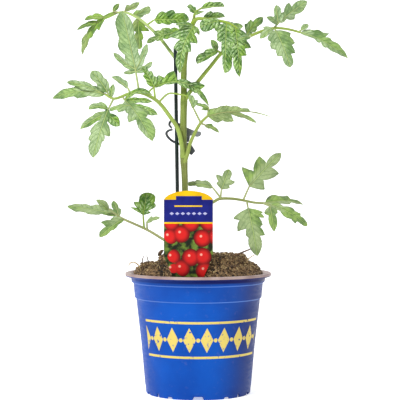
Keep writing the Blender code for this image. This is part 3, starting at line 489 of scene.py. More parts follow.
# Each leaf is its leaflets' tones, its stalk's tone, the stalk's radius at its two ends, the
# stalk's run from the stem outward, and its leaflets.
LEAVES = {}

# The lowest leaf, which rises from the stem's foot to the left.
LEAVES["leaf_lower_left"] = ("rrrryr", (0.1, 0), (1.6, 0.95), [(-11.2, -0.4, 127), (-15, -1.2, 128.4),
    (-20.6, -0.6, 130.6), (-29.9, 6, 135.4), (-45.7, 16, 144.7), (-66.9, 27, 154.3), (-72.6, 30, 157.8)],
    Blade([(-72.6, 30, 157.8), (-117.1, 50, 165.9)], [(15, 4, 6), (40, 8, 8), (66, 7.5, 6.5)], (0, -0.7, 0.7),
        arch=0.03),
    Blade([(-72, 29.8, 157.4), (-80, 27, 163), (-91.4, 20, 171.6)], [(35, 4.4, 4.4)]),
    Blade([(-71, 29.2, 156.8), (-75.6, 34, 170.8)], [(30, 5.5, 4), (60, 5, 2.6)], FACE_BELOW, under=True),
    Blade([(-66.9, 27, 154.3), (-88.1, 16, 137.9)], [(14, 2.6, 7.5, 0.95), (44, 4.6, 11.5, 0.8),
        (70, 4, 5.5)]),
    Blade([(-48.4, 17.2, 146), (-49.2, 20, 157.8), (-45.7, 26, 178)], [(5, 13, 7, 0.6), (26, 11.5, 11.5, 0.9),
        (52, 7.5, 10.5)], (0, -0.95, 0.1)),
    Blade([(-45.7, 16, 144.7), (-45.9, 13, 151.5), (-34, 8, 155.4)], [(30, 4.2, 3.4), (62, 2.6, 2.4)],
        (0, -0.8, 0.6)))

# The lower leaf on the right, with broad leaflets above and below its stalk.
LEAVES["leaf_lower_right"] = ("rrrrrrrr", (0.3, 0), (1.7, 0.95), [(-11.4, 0.6, 155), (-7, 3.4, 160),
    (2, 7, 165), (13.1, 10, 169.4), (19.2, 12, 172.4), (29.2, 15, 172.6), (38.7, 18, 171.4), (50.6, 22, 169),
    (60, 25, 168.6)],
    Blade([(60, 25, 168.6), (93.9, 44, 167.3)], [(15, 9, 5), (48, 7.5, 5), (74, 4, 3)], (0, -0.75, 0.65)),
    Blade([(59, 24.6, 168.6), (64.6, 24, 167), (97.6, 20, 148.2)], [(12, 5, 4), (42, 7, 7.6), (60, 7.4, 8.1),
        (78, 5, 5)], (0.1, -0.8, 0.6)),
    Blade([(58, 24.4, 168.6), (64.2, 21, 165.6), (67.8, 10, 143)], [(20, 6.5, 7, 0.7), (55, 5.2, 4.6)]),
    Blade([(45.8, 15.5, 160.2), (59.2, 10, 155.6)], [(30, 3, 2.4), (65, 2.6, 2.2)]),
    Blade([(40.2, 18.6, 171.2), (45.6, 21, 183.3), (74.1, 34, 213.4)], [(7, 18, 13, 0.5), (44, 14.5, 14, 0.6),
        (70, 6, 6)], (0.1, -0.9, 0.3)),
    Blade([(43.4, 19.6, 170.4), (44.6, 17, 164.1), (52.8, 2, 121.2)], [(6, 13, 16, 0.7), (30, 11, 15.5, 0.75),
        (48, 12, 8.5, 0.8), (66, 8, 8)]),
    Blade([(19.8, 12.2, 172.4), (20.8, 14, 180.8), (28, 20, 198.6)], [(8, 7, 7, 0.8), (30, 10.5, 10),
        (62, 5, 5)], (0, -0.95, 0.2)),
    Blade([(20.6, 12.6, 172.6), (12.8, 12, 182.6), (-9.2, 12, 184.9)], [(22, 3.4, 6), (50, 3.6, 6),
        (82, 2.6, 4.6)], (0, -0.8, 0.6)))

# The leaf that leaves the stem at the front and crosses the stake to the left.
LEAVES["leaf_mid_left"] = ("ggggggmfggfffppppppfff", (0.8, 0.2), (2.2, 0.95), [(-13.4, -1, 210),
    (-14.6, -4.6, 220), (-18, -6.8, 234.6), (-25.3, -9, 246), (-34.6, -12, 258), (-43.6, -14, 264.2),
    (-52.7, -15, 267.4), (-62, -16, 266.4), (-74.8, -18, 261.9), (-83.5, -18, 266.1)],
    # The leaflet at the far end, with its long upper lobe and its round one above.
    Blade([(-83.5, -18, 266.1), (-130.3, -12, 262)], [(14, 5.5, 7), (40, 8, 8), (66, 6, 6.5)], bow=-2),
    Blade([(-86, -18, 267), (-92, -18.4, 269.6), (-117.4, -15, 276.7)], [(35, 4.6, 4.8), (70, 3.6, 3.8)]),
    Blade([(-80.6, -18, 264.8), (-80.8, -18.4, 267.4), (-95.2, -19, 286.6)], [(30, 5.5, 6.5),
        (60, 6.6, 6.2)]),
    Blade([(-78, -18, 263.4), (-75.8, -20, 275)], [(45, 3, 3.2)]),
    # The hanging leaflet with three narrow lobes at its base.
    Blade([(-75.6, -18, 262), (-80.5, -20, 252.2), (-93.8, -34, 209)], [(14, 4, 4, 0.9), (43, 11, 10.4, 0.8),
        (56, 7, 10.4, 0.9), (70, 5.6, 8.6)]),
    Blade([(-80.6, -20, 252.4), (-97.9, -24, 252.2)], [(30, 2.6, 5), (64, 2.6, 4.4)], bow=-2),
    Blade([(-81, -21.4, 249), (-105.6, -28, 234.7)], [(26, 4.2, 5.2), (58, 4.4, 4.8)]),
    Blade([(-81.2, -21.6, 248.2), (-70.2, -27, 237.5)], [(42, 5, 6.5)]),
    # The broad hanging leaflet near the middle, with its side lobes.
    Blade([(-68, -17, 264.2), (-65.1, -18, 259.9), (-41, -52, 223.9)], [(10, 5, 5, 0.9), (26, 8.5, 8, 0.95),
        (42, 10.5, 12, 0.6), (66, 10.5, 7)], (0.1, -0.9, 0.5)),
    Blade([(-60.8, -27.2, 255.7), (-79.4, -26, 252.6)], [(40, 6.4, 2.5), (74, 4, 2)]),
    Blade([(-64.6, -18.2, 259.4), (-41, -20, 259.2)], [(30, 3.4, 3.6), (66, 3.2, 3.2)]),
    Blade([(-61, -23.6, 254.4), (-36, -36, 247.6)], [(28, 4.6, 5.2), (62, 4.6, 5)]),
    Blade([(-65.1, -17.4, 260.6), (-41, -22, 265)], [(22, 3.4, 2.6), (60, 3.6, 2.6)], bow=5),
    Blade([(-60.6, -16, 266.6), (-63, -15, 271.7), (-77.6, -8, 281.4)], [(16, 2.6, 4.6), (52, 2.6, 4.6)],
        FACE_BELOW, under=True),
    # The tall leaflet that shows its underside, with its basal lobes.
    Blade([(-52.7, -15, 267.4), (-55.3, -15, 283), (-56.4, -14.4, 289.5), (-68.2, -14, 340.2)],
        [(12, 8, 7, 0.9), (34, 12.4, 7.6), (66, 11.2, 8.4)], (0, -0.96, -0.25), under=True, arch=0.06),
    Blade([(-56.2, -14.5, 288), (-75.8, -18, 303)], [(30, 4, 4.2), (66, 3.6, 3.6)], under=True),
    Blade([(-56.1, -14.5, 287.4), (-45.6, -18, 311)], [(30, 4, 4), (66, 3.6, 3.8)], under=True),
    Blade([(-55.9, -14.7, 286.6), (-67.1, -18, 284.8)], [(40, 2, 3.2)], under=True),
    Blade([(-55.7, -14.8, 285.8), (-40.9, -20, 295.1)], [(30, 3.4, 4.2), (64, 2.6, 3.6)], under=True),
    # The leaflets near the stem, one of them arched in front of it.
    Blade([(-38.4, -12.9, 261), (-39.6, -15.4, 272.4), (-49.4, -17, 290.6)], [(20, 5, 6.4), (50, 5.4, 5.6),
        (76, 3.4, 3.4)]),
    Blade([(-46, -14.4, 265.4), (-43.4, -15.2, 268.8), (-39, -14.6, 272.4), (9.6, -8, 255.2)],
        [(7, 9, 2, 0.6), (24, 11, 2.6, 0.4), (46, 4, 5.6, 0.9), (66, 10.5, 5, 0.9), (80, 3.2, 3.4)],
        (0, -0.95, 0.3), arch=0.02, bow=12.6),
    Blade([(-35, -12.4, 258.8), (-29.7, -11, 264.4), (-25.3, -10, 266.7), (-19.7, -9.6, 266.3),
        (-9.6, -9.4, 264.4), (-8, -9.6, 268.6)], [(40, 1.6, 1.6)], arch=0))

# The leaf that leaves the stem beside the clip and points to the right.
LEAVES["leaf_mid_right"] = ("oomomm", (0.6, 0), (2, 1.1), [(-12.6, -0.6, 205), (-9.8, -3.4, 212),
    (-7.2, -6, 221.7), (-3, -8, 231.1), (2.1, -10, 240), (8.4, -13, 246.3)],
    Blade([(8.4, -13, 246.3), (67.6, -34, 244.6)], [(5.5, 6.6, 9.8, 0.85), (26, 7.2, 11.8, 0.9),
        (42, 5.6, 2, 0.9), (58, 3.6, 1.2, 0.5), (72, 0.8, 0.8)], (0, -0.85, -0.5), under=True, arch=0.06,
        bow=4),
    Blade([(26.4, -18.5, 250.3), (52.2, -30, 240.2)], [(35, 2.6, 3), (70, 2.6, 2.4)], (0, -0.85, -0.5),
        under=True),
    Blade([(2.2, -10.2, 240.4), (-4.3, -14, 253.4), (-9.2, -15.5, 264.2)], [(20, 1.2, 7), (55, 1.2, 5.4)],
        (0, -0.95, 0.3)),
    Blade([(2.1, -10, 240), (6.2, -12, 238.4), (18.8, -18, 231.5)], [(28, 3.4, 3), (58, 2.6, 2.4)],
        (0, -0.8, 0.6)),
    Blade([(8.4, -13, 246.3), (9.4, -14.4, 253.6), (-3, -14, 257.2)], [(30, 2.2, 2.4), (64, 2, 2)]),
    Blade([(9.2, -14.2, 252.2), (2.4, -15, 252.4)], [(40, 1.5, 1.5)]))

# The leaf that passes behind the stake and hangs over at the far left.
LEAVES["leaf_upper_left"] = ("ooooomof", (0.8, 0.9), (1.8, 0.95), [(-12.6, 1, 284), (-16, 5, 292.6),
    (-21.4, 9.6, 299.4), (-34.4, 19, 316.4), (-45.9, 26, 327.7), (-54, 31, 334), (-64.6, 37, 339),
    (-71.8, 41, 338.8)],
    # The leaflet at the far end, with the two lobes that spread from its arched midrib.
    Blade([(-71.8, 41, 338.8), (-103.5, 63, 301.1)], [(14, 2.8, 2.4, 1), (36, 9, 3, 0.8),
        (47, 7.6, 3.4, 0.95), (58, 7.4, 4.6, 0.95), (72, 6.2, 7.2)], FACE_HANGING, arch=0.05, bow=-9.6),
    Blade([(-84.2, 49, 334.2), (-101.7, 55, 332.1)], [(34, 2.6, 5.6), (66, 2.2, 4)], FACE_HANGING),
    Blade([(-89.6, 53, 330.2), (-108.4, 60, 323.4)], [(34, 3.8, 3.6), (66, 3, 2.6)], FACE_HANGING),
    Blade([(-71.4, 40.8, 338.8), (-76, 42, 340.2), (-70.4, 41, 347)], [(36, 2.6, 3.2)]),
    # The leaflets behind the tall one.
    Blade([(-64.6, 37, 339), (-65.4, 36.8, 341), (-52.2, 36, 347.9)], [(14, 5.6, 2.4), (48, 4.2, 3.2)],
        under=True),
    Blade([(-58, 33.4, 336), (-43.7, 38, 344.4)], [(26, 4.8, 5.6), (60, 3.6, 6.4, 0.7)], under=True),
    Blade([(-54, 31, 334), (-52.1, 30, 306.2)], [(14, 7.5, 6), (26, 11, 7, 0.5), (55, 5, 6), (80, 3.6, 4.4)],
        arch=-0.08),
    Blade([(-45.9, 26, 327.7), (-38.9, 24, 332.5), (-8.3, 12, 332)], [(12, 8.5, 5), (38, 10.5, 6),
        (66, 8.5, 5)], (0, -1, 0.15), arch=0.05))

# The long leaf that climbs from the stem and spreads its leaflets at the far right.
LEAVES["leaf_upper_right"] = ("ggggppgygfg", (0.75, 0), (2, 0.95), [(-12.8, 0.2, 258), (-9.4, -0.6, 265),
    (-1.2, -1.4, 275.8), (10.5, -2, 290.1), (20.9, -2.4, 302.6), (32.8, -3, 311.6), (45.3, -4, 317.4),
    (57.8, -5, 322.5), (68, -6, 325), (80.2, -7, 324), (91.4, -8, 321.1)],
    Blade([(91.4, -8, 321.1), (133.8, -12, 298.1)], [(9, 7, 2.2, 1), (22, 10.4, 2.4, 1), (35, 12, 4.4, 0.65),
        (46, 7.6, 7.2, 0.9), (61, 7, 6)], (0.1, -0.85, 0.5)),
    Blade([(90, -7.9, 321.6), (92, -8, 323.2), (98.6, -8, 328.2)], [(40, 3.2, 3.2)]),
    Blade([(68, -6, 325), (69, -7, 323), (82.4, -26, 290)], [(12, 12, 11, 0.85), (34, 13, 12.5, 0.85),
        (57, 10.5, 10), (78, 6, 6)]),
    Blade([(67, -6, 324.8), (55.4, -10, 315.5)], [(25, 4, 6.5), (56, 3.4, 4.2)]),
    Blade([(67.6, -6, 325), (72.6, -5, 330.4), (97.2, 6, 349)], [(12, 6, 3.4), (36, 10.5, 8.5, 0.7),
        (64, 6.5, 7.5)], FACE_BELOW, under=True, arch=0.05),
    Blade([(71.6, -5.2, 329.2), (69.4, -9, 345.6)], [(25, 4, 6.5), (55, 3.2, 5)], FACE_BELOW, under=True),
    Blade([(71, -5.4, 328.4), (60.8, -12, 335)], [(40, 3.6, 3.6)]),
    Blade([(43.8, -3.8, 316.8), (43.4, -2, 319.4), (57.6, 10, 335)], [(12, 8, 5, 0.9), (42, 7, 7),
        (70, 3.6, 6)], FACE_BELOW, under=True),
    Blade([(45.3, -4, 317.4), (46.2, -14, 318.2), (46.5, -21, 317), (36, -25, 315)], [(40, 3.4, 3.4)]),
    Blade([(20.9, -2.4, 302.6), (17.4, -3.2, 304.6), (-1, -12, 293)], [(24, 3, 7.4), (58, 3, 7.6)],
        arch=0.06),
    Blade([(20.2, -2.3, 301.8), (17, -1.6, 305.4), (11.4, 2, 314.7)], [(40, 3.6, 3.8)], FACE_BELOW,
        under=True))

# A young serrated leaf that points left from the crown.
LEAVES["leaf_crown_left"] = ("c", (0.8, 0.3), (1.2, 0.9), [(-7.4, 0.3, 318), (-11, 2.6, 321),
    (-15, 4.6, 321.6)],
    Blade([(-15, 4.6, 321.6), (-46, 8, 312)], [(10, 5, 6), (34, 6, 9.5, 0.75), (58, 6, 9, 0.75), (80, 4, 4)],
        (0, -0.85, 0.5)))

# The young leaf that arches to the right and hangs its blades over the long leaf's stalk.
LEAVES["leaf_crown_right"] = ("fffff", (1, 0), (1.7, 0.95), [(-4.8, -0.6, 329), (-0.6, -4.4, 333.4),
    (7, -7, 333), (18.4, -10.6, 331.6), (26.6, -13.2, 329.6), (33.2, -15, 325.6), (40.5, -16.4, 318.8)],
    Blade([(25.2, -12.8, 330), (23.6, -24, 284.8)], [(8, 8, 11, 0.9), (30, 10, 9, 0.95), (54, 10, 4.6, 0.95),
        (76, 8.5, 3.4)]),
    Blade([(33.2, -15, 325.6), (37.2, -27, 281.2)], [(12, 11, 9, 0.9), (30, 13.5, 10, 0.8), (48, 9, 9.5, 0.9),
        (68, 3.6, 7)], (0.2, -0.9, 0.4), arch=0.05),
    Blade([(19.6, -11, 331.4), (1.6, -18, 325.4)], [(20, 8, 5), (56, 9, 7)]),
    Blade([(4, -6, 333), (24.1, 2, 335)], [(25, 7, 3), (60, 5.5, 2)], FACE_BELOW, under=True),
    Blade([(24, -12.4, 330.4), (40, -6, 326.6)], [(30, 5, 5), (66, 5, 4)], (0, -0.8, 0.6), under=True))

# The young leaf that hangs down in front of the stem and the stake.
LEAVES["leaf_crown_front"] = ("fff", (0.9, 0), (1.1, 0.85), [(-6.2, -0.3, 322.5), (-5, -4, 325.8),
    (-3.6, -8, 326.6)],
    Blade([(-3.6, -8, 326.6), (-16.4, -22, 284.3)], [(5, 6, 13, 0.8), (24, 12, 17.5, 0.55), (46, 9, 10, 0.8),
        (70, 4.6, 6)], bow=-3),
    Blade([(-4.2, -7, 326.4), (-20.4, -16, 327.6)], [(30, 2.2, 3.6), (64, 2, 3)], (0, -0.85, 0.5)),
    Blade([(-3.7, -7.8, 326.5), (1, -10, 318.6)], [(40, 2.6, 2)]))

# The youngest leaf, standing up from the growing tip.
LEAVES["leaf_crown_top"] = ("fff", (0.9, 0), (1, 0.8), [(-3.6, 0.5, 333), (-4, 2.6, 336), (-1.4, 3.6, 340),
    (3.6, 4.4, 343.2)],
    Blade([(3, 4.3, 342.8), (23.6, 6, 344.2)], [(30, 5.6, 1.6), (66, 5.4, 1.2)], (0, -0.95, 0.3)),
    Blade([(-2.4, 3.3, 338.6), (-8.8, 5, 345.6)], [(30, 4, 3.8), (66, 3.2, 3)]),
    Blade([(-3.6, 2.9, 336.8), (5.6, 0, 339.8)], [(40, 1.8, 1.8)]))


# Materials

def tint(*screen):
    """A colour as it looks on a screen, from 0 to 255, made linear."""
    shares = [value / 255 for value in screen]
    return (*[share / 12.92 if share <= 0.04045 else ((share + 0.055) / 1.055) ** 2.4 for share in shares], 1)


class Wire:
    """A node's output. What is reckoned with it is made of nodes too."""

    def __init__(self, finish, socket):
        self.finish = finish
        self.socket = socket

    def math(self, operation, other=0):
        node = self.finish.node("Math", self, other)
        node.operation = operation
        return Wire(self.finish, node.outputs[0])

    def __add__(self, other):
        return self.math("ADD", other)

    def __sub__(self, other):
        return self.math("SUBTRACT", other)

    def __mul__(self, other):
        return self.math("MULTIPLY", other)

    def __abs__(self):
        return self.math("ABSOLUTE")

    def ramp(self, low, high, out_low=0, out_high=1):
        """Runs smoothly from out_low, where this is low, to out_high, where this is high."""
        node = self.finish.node("MapRange", self, low, high, out_low, out_high)
        node.interpolation_type = "SMOOTHSTEP"
        return Wire(self.finish, node.outputs["Result"])

    def below(self, level, soft=0.1):
        """1 below a level in millimetres and 0 above it, with an edge soft either way."""
        return self.ramp((level + soft) * MM, (level - soft) * MM)

    def above(self, level, soft=0.1):
        return self.below(level, -soft)


class Finish:
    """One node material."""

    def __init__(self, name):
        self.material = bpy.data.materials.new(name)
        self.material.use_nodes = True
        self.tree = self.material.node_tree
        self.shader = self.tree.nodes["Principled BSDF"]
        self.place = Wire(self, self.node("TexCoord").outputs["Object"])

    def put(self, value, socket):
        """Links a wire to a socket, or sets the socket to a number or a screen colour."""
        if isinstance(value, Wire):
            self.tree.links.new(value.socket, socket)
        else:
            socket.default_value = tint(*value) if isinstance(value, tuple) else value

    def node(self, kind, *values, **named):
        """A new node with the values put to its first sockets and to those named."""
        node = self.tree.nodes.new("ShaderNode" + kind)
        for value, socket in zip(values, node.inputs):
            self.put(value, socket)
        for name, value in named.items():
            self.put(value, node.inputs[name])
        return node

    def split(self, vector):
        return [Wire(self, socket) for socket in self.node("SeparateXYZ", vector).outputs]

    def join(self, x, y, z=0):
        return Wire(self, self.node("CombineXYZ", x, y, z).outputs[0])

    def noise(self, scale, detail=4, where=None):
        node = self.node("TexNoise", where or self.place, Scale=scale, Detail=detail)
        return Wire(self, node.outputs["Fac"])

    def cells(self, scale, feature="F1", where=None, flat=False):
        """The distance to a scattered cell's middle or edge."""
        node = self.node("TexVoronoi", where or self.place, Scale=scale)
        node.feature = feature
        if flat:
            node.voronoi_dimensions = "2D"
            node.inputs["Randomness"].default_value = 0.6
        return Wire(self, node.outputs["Distance"])

    def blend(self, share, first, second):
        node = self.node("Mix")
        node.data_type = "RGBA"
        for value, socket in zip((share, first, second), (node.inputs[0], node.inputs[6], node.inputs[7])):
            self.put(value, socket)
        return Wire(self, node.outputs[2])

    def coat(self, colour, *coats):
        """Lays coats, each a share and a colour, over a colour in turn."""
        for share, over in coats:
            colour = self.blend(share, colour, over)
        return colour

    def attribute(self, name):
        node = self.node("Attribute")
        node.attribute_name = name
        return Wire(self, node.outputs["Fac"])

    def vein_place(self):
        node = self.node("UVMap")
        node.uv_map = "Vein"
        return self.split(Wire(self, node.outputs["UV"]))[:2]

    def end(self, colour, roughness, height, distance, strength, **fixed):
        """Feeds the shader. The bump has a height wire, and a distance in metres and a strength."""
        bump = self.node("Bump", Height=height, Distance=distance, Strength=strength)
        self.put(colour, self.shader.inputs["Base Color"])
        self.put(roughness, self.shader.inputs["Roughness"])
        self.put(Wire(self, bump.outputs["Normal"]), self.shader.inputs["Normal"])
        for name, value in fixed.items():
            self.shader.inputs[name.replace("_", " ")].default_value = value
        return self.material


def leaf_finish(name, beneath):
    """Light tissue between side veins, with painted shade in the sunken vein valleys and beside the midrib.
    The freshest leaves bulge, with a painted highlight on every bulge.
    """
    leaf = Finish(name)
    along, across = leaf.vein_place()
    tone = leaf.attribute("tone")
    pale = leaf.attribute("pale")
    drift = (leaf.noise(160, 3) - 0.5) * 0.8
    to_vein = abs((along + drift).math("FRACT") - 0.5)
    valley = to_vein.ramp(tone * -0.12 + 0.43, 0.495)
    off_rib = abs(across)
    midrib = off_rib.ramp(0.06, 0.025)
    beside_rib = off_rib.ramp(0.03, 0.06) * off_rib.ramp(0.14, 0.08)
    net = leaf.cells(2, "DISTANCE_TO_EDGE", leaf.join(along * 1.3, across * 1.5))
    fine_vein = net.ramp(0.12, 0)
    bulge = net.ramp(0.02, 0.42) * to_vein.ramp(0.48, 0.3)
    patches = leaf.noise(110).ramp(0.38, 0.6)
    speckle = leaf.noise(1000, 3)
    # Whole stretches, often one half of a leaflet, are fresher and less grey than the rest.
    lush = (leaf.noise(34, 1) + across.math("SIGN") * 0.06).ramp(0.47, 0.57)
    lushness = lush * (tone * 0.35 + 0.6)
    deep = leaf.coat((104, 124, 54), (tone, (68, 128, 0)), (lushness, (62, 116, 0)))
    light = leaf.coat((142, 160, 82), (tone, (144, 190, 70)), (lushness, (134, 178, 36)))
    grey = leaf.coat((138, 167, 115), (patches, (170, 194, 146)),
                     (tone.ramp(0.3, 0.1, 0, 0.6), (170, 188, 138)))
    share = pale * (lush * (pale * 0.65 - 1) + 0.95)
    if beneath:
        share = share.math("MAXIMUM", 0.25)
    crisp = tone * 0.72 + 0.18
    # Painted highlight: a pale colour on each bulge of the quilting, strongest on the freshest leaves.
    shine = bulge * speckle.ramp(0.32, 0.66, 0.5, 1) * (lush * -0.75 + 1.35)
    # Painted shade: dark green in the sunken side-vein valleys and in the grooves beside the midrib.
    dark = leaf.blend(share, (32, 84, 0), (78, 118, 60))
    depth = leaf.noise(240, 2).ramp(0.35, 0.65, 0.45, 1) * (tone * 0.3 + 0.65)
    margin = leaf.attribute("margin").ramp(0.78, 0.98)
    colour = leaf.coat(leaf.blend(patches, deep, light),
        (share, grey),
        (shine.math("MINIMUM", 1) * crisp, (204, 222, 178)),
        (fine_vein * (crisp * 0.5), (72, 108, 38)),
        (beside_rib * 0.45, dark),
        (valley * depth, dark),
        (midrib * 0.7, (172, 196, 104)),
        (margin * 0.45, (84, 110, 58)))
    way = 1 if beneath else -1
    height = valley * (0.8 * way) + fine_vein * (0.4 * way) + leaf.noise(2600, 2) * 0.3
    rough = speckle.ramp(0.3, 0.7, 0.46, 0.66)
    return leaf.end(colour, rough, height, 0.00028, 0.8, Sheen_Weight=0.15, Sheen_Roughness=0.45)


def stalk_finish(name, dull, fresh, shade):
    """A stem with long pale streaks, darker patches and a bloom of fine hairs. dull and fresh are
    the two ends of its tone."""
    stalk = Finish(name)
    along, around = stalk.vein_place()
    streaks = stalk.noise(1, 3, stalk.join(along * 0.5, around * 14)).ramp(0.35, 0.65)
    fuzz = stalk.noise(3000, 2)
    colour = stalk.coat(dull,
        (stalk.attribute("tone"), fresh),
        (stalk.attribute("pale") * 0.45, (190, 214, 148)),
        (streaks * 0.2, (196, 206, 124)),
        (stalk.noise(90, 3).ramp(0.45, 0.8, 0, 0.45), shade),
        (fuzz.ramp(0.5, 0.8, 0, 0.15), (214, 220, 170)))
    rough = fuzz.ramp(0.3, 0.7, 0.45, 0.62)
    height = (streaks + fuzz) * 0.4
    return stalk.end(colour, rough, height, 0.00015, 0.6, Sheen_Weight=0.2, Sheen_Roughness=0.4)


def cloudy_finish(name, scale, first, second, *rest, **fixed):
    """Two colours that drift into each other. rest is a roughness and the bump."""
    made = Finish(name)
    cloud = made.noise(scale, 2)
    roughness, distance, strength = rest
    return made.end(made.blend(cloud, first, second), roughness, cloud, distance, strength, **fixed)


def mottled_finish(name, cloud, grain, first, second, rough, distance, **fixed):
    """Two colours in patches over a fine grain. cloud and grain are scales and details."""
    made = Finish(name)
    fine = made.noise(*grain)
    colour = made.blend(made.noise(*cloud).ramp(0.3, 0.7), first, second)
    return made.end(colour, fine.ramp(0.3, 0.7, *rough), fine, distance, 0.6, **fixed)


def pot_finish():
    """Satin blue plastic with a taupe lip, one row of small yellow diamonds, painted shade on its right side
    and under the lip, and painted highlights along two steps.
    """
    pot = Finish("pot_blue_plastic")
    x, y, z = pot.split(pot.place)
    turn = x.math("ARCTAN2", y * -1)
    cloud = pot.noise(26, 3)
    back = abs(turn).ramp(2.9, 1.2)
    scuffs = pot.noise(1, 5, pot.join(turn * 6, z * 420))
    # Painted highlights: pale lines along the lower edges of the collar and of the step.
    steps = [(abs(z - edge * MM).below(0.45, 0.25) * 0.45, (104, 150, 226))
             for edge in (COLLAR_FOOT, STEP_FOOT)]
    # Diamonds and dots take turns along the band, between two thin lines.
    up = abs(z - MOTIF_HEIGHT * MM)
    off = abs((turn * MOTIF_PER_RADIAN).math("FRACT") - 0.5)
    diamonds = (off * 2.2 + up * 76).ramp(0.84, 0.78)
    aside = (off - 0.5) * 9
    above = up * 560
    dots = (aside * aside + above * above).ramp(1.1, 0.9)
    lines = abs(up - MOTIF_LINE * MM).below(1)
    ends = turn.ramp(MOTIF_FROM - 0.02, MOTIF_FROM) * turn.ramp(MOTIF_TO + 0.02, MOTIF_TO)
    worn = pot.noise(300).ramp(0.3, 0.42)
    motif = diamonds.math("MAXIMUM", dots).math("MAXIMUM", lines) * ends * worn
    # Painted shade under the lip: a dark navy band, deeper to the right and fading toward the back.
    painted_lip_shade = z.above(SHADE_FOOT, 1) * turn.ramp(-1.3, 0.5, 0.5, 0.98) * (back * 0.5 + 0.5)
    taupe = pot.blend(pot.noise(60).ramp(0.3, 0.7), (150, 128, 126), (178, 158, 152))
    colour = pot.coat((0, 66, 158),
        (cloud.ramp(0.3, 0.7), (0, 80, 178)),
        # Painted shade: the right side is darkened toward navy, fading out toward the back.
        (turn.ramp(0.2, 1.05) * back * 0.62, (34, 28, 60)),
        (scuffs.ramp(0.58, 0.8, 0, 0.12), (60, 106, 196)),
        *steps,
        (motif, pot.blend(cloud, (206, 186, 92), (232, 208, 112))),
        (pot.noise(220, 5).ramp(0.58, 0.85) * 0.18, (120, 112, 128)),
        (painted_lip_shade, (0, 4, 78)),
        (z.above(TAUPE_FOOT, 0.25), taupe))
    rough = scuffs.ramp(0.3, 0.8, 0.34, 0.55)
    return pot.end(colour, rough, pot.noise(1500, 2) + scuffs, 0.00006, 0.5, Specular_IOR_Level=0.12)


def peat_finish():
    peat = Finish("peat_crumb")
    x, y, _ = peat.split(peat.place)
    crumbs = peat.noise(520, 6)
    flecks = peat.cells(560)
    # A painted shadow on the peat beside the label.
    label_shadow = abs(x - LABEL_SHADOW_X * MM).below(2.4, 1) * y.below(LABEL_SHADOW_Y, 2)
    colour = peat.coat((12, 7, 4),
        (crumbs.ramp(0.36, 0.6), (192, 156, 110)),
        (peat.noise(1500, 3).ramp(0.58, 0.44, 0, 0.6), (44, 30, 18)),
        (peat.noise(70, 5).ramp(0.45, 0.7, 0, 0.45), (128, 98, 64)),
        (flecks.ramp(0.22, 0.05, 0, 0.55), (204, 180, 142)),
        # Painted shadow: dark gaps between the crumbs.
        (peat.noise(400).ramp(0.5, 0.4) * 0.6, (14, 8, 4)),
        (label_shadow * 0.85, (10, 7, 4)))
    return peat.end(colour, crumbs.ramp(0.3, 0.7, 0.85, 0.98), crumbs + flecks * 0.6, 0.0018, 1)


def fibre_finish(name, first, second):
    return mottled_finish(name, (500, 4), (500, 4), first, second, (0.7, 0.9), 0.0002)


def clip_finish():
    """Grey plastic, dark at the fingers, with a painted highlight that turns it paler toward the upper
    lever's end.
    """
    lever_from = -9
    lever_foot = 226
    clip = Finish("clip_plastic")
    x, _, z = clip.split(clip.place)
    cloud = clip.noise(120)
    grain = clip.noise(1600, 3)
    grey = clip.blend(cloud, (44, 48, 52), (70, 76, 80))
    pale = clip.blend(cloud, (104, 110, 112), (128, 132, 134))
    # Painted highlight: the upper lever is made paler.
    lever = x.above(lever_from, 5) * z.above(lever_foot, 2)
    return clip.end(clip.blend(lever, grey, pale), grain.ramp(0.3, 0.7, 0.4, 0.55), grain, 0.00008, 0.6)


def label_finish():
    """A yellow arch, a bare blue panel, a yellow stripe, and red rounds on green leaves."""
    label = Finish("label_print")
    x, y, z = label.split(label.place)
    cloud = label.noise(90, 3)
    patchy = cloud.ramp(0.3, 0.7)
    yellow = label.blend(patchy, (214, 170, 0), (230, 188, 6))
    blue = label.blend(patchy, (8, 16, 100), (18, 28, 120))
    rounds = label.cells(66, "F1", label.join(x, z), True)
    gleam = label.cells(66, "F1", label.join(x + 0.0013, z - 0.0017), True)
    leafy = label.noise(170, 5, label.join(x, 0, z)).ramp(0.42, 0.66)
    reds = label.blend(rounds.ramp(0.2, 0.52), (206, 26, 24), (92, 2, 4))
    size = (z * 0.3 + x).ramp(0.006, 0.022, 0.15, 0.5)
    picture = label.coat(label.blend(leafy, (18, 26, 12), (104, 130, 48)),
        (rounds.math("LESS_THAN", size), reds),
        (gleam.ramp(0.1, 0.03, 0, 0.6), (255, 214, 190)))
    tab = z.below(TAB_TOP) * x.below(TAB_RIGHT) * x.above(TAB_LEFT)
    # A plain bar and a row of small pale diamonds on the panel.
    from_middle = abs(x - LABEL_CENTRE * MM)
    bar = abs(z - BAR_HEIGHT * MM).below(0.6) * from_middle.below(BAR_REACH)
    step = abs((from_middle * 210 + 0.5).math("FRACT") - 0.5)
    gems = (step + abs(z - GEMS_HEIGHT * MM) * 300).ramp(0.42, 0.36) * from_middle.below(GEMS_REACH, 0.2)
    colour = label.coat(yellow,
        (z.below(PANEL_TOP).math("MAXIMUM", tab), blue),
        (bar, yellow),
        (gems * 0.8, (190, 190, 226)),
        (z.below(STRIPE_TOP), yellow),
        (z.below(PICTURE_TOP), picture),
        (y.above(LABEL_DEPTH), label.blend(cloud, (226, 222, 208), (238, 236, 226))))
    rough = cloud.ramp(0.3, 0.7, 0.4, 0.5)
    return label.end(colour, rough, label.noise(1200, 2), 0.00003, 0.4, Specular_IOR_Level=0.2)


# Pot, soil, stake, stem, clip and label

def profile(*rows):
    """(radius, height) points, each row being one of them and small moves from it."""
    return [(radius + out, height + up) for radius, height, *moves in rows for out, up in moves]


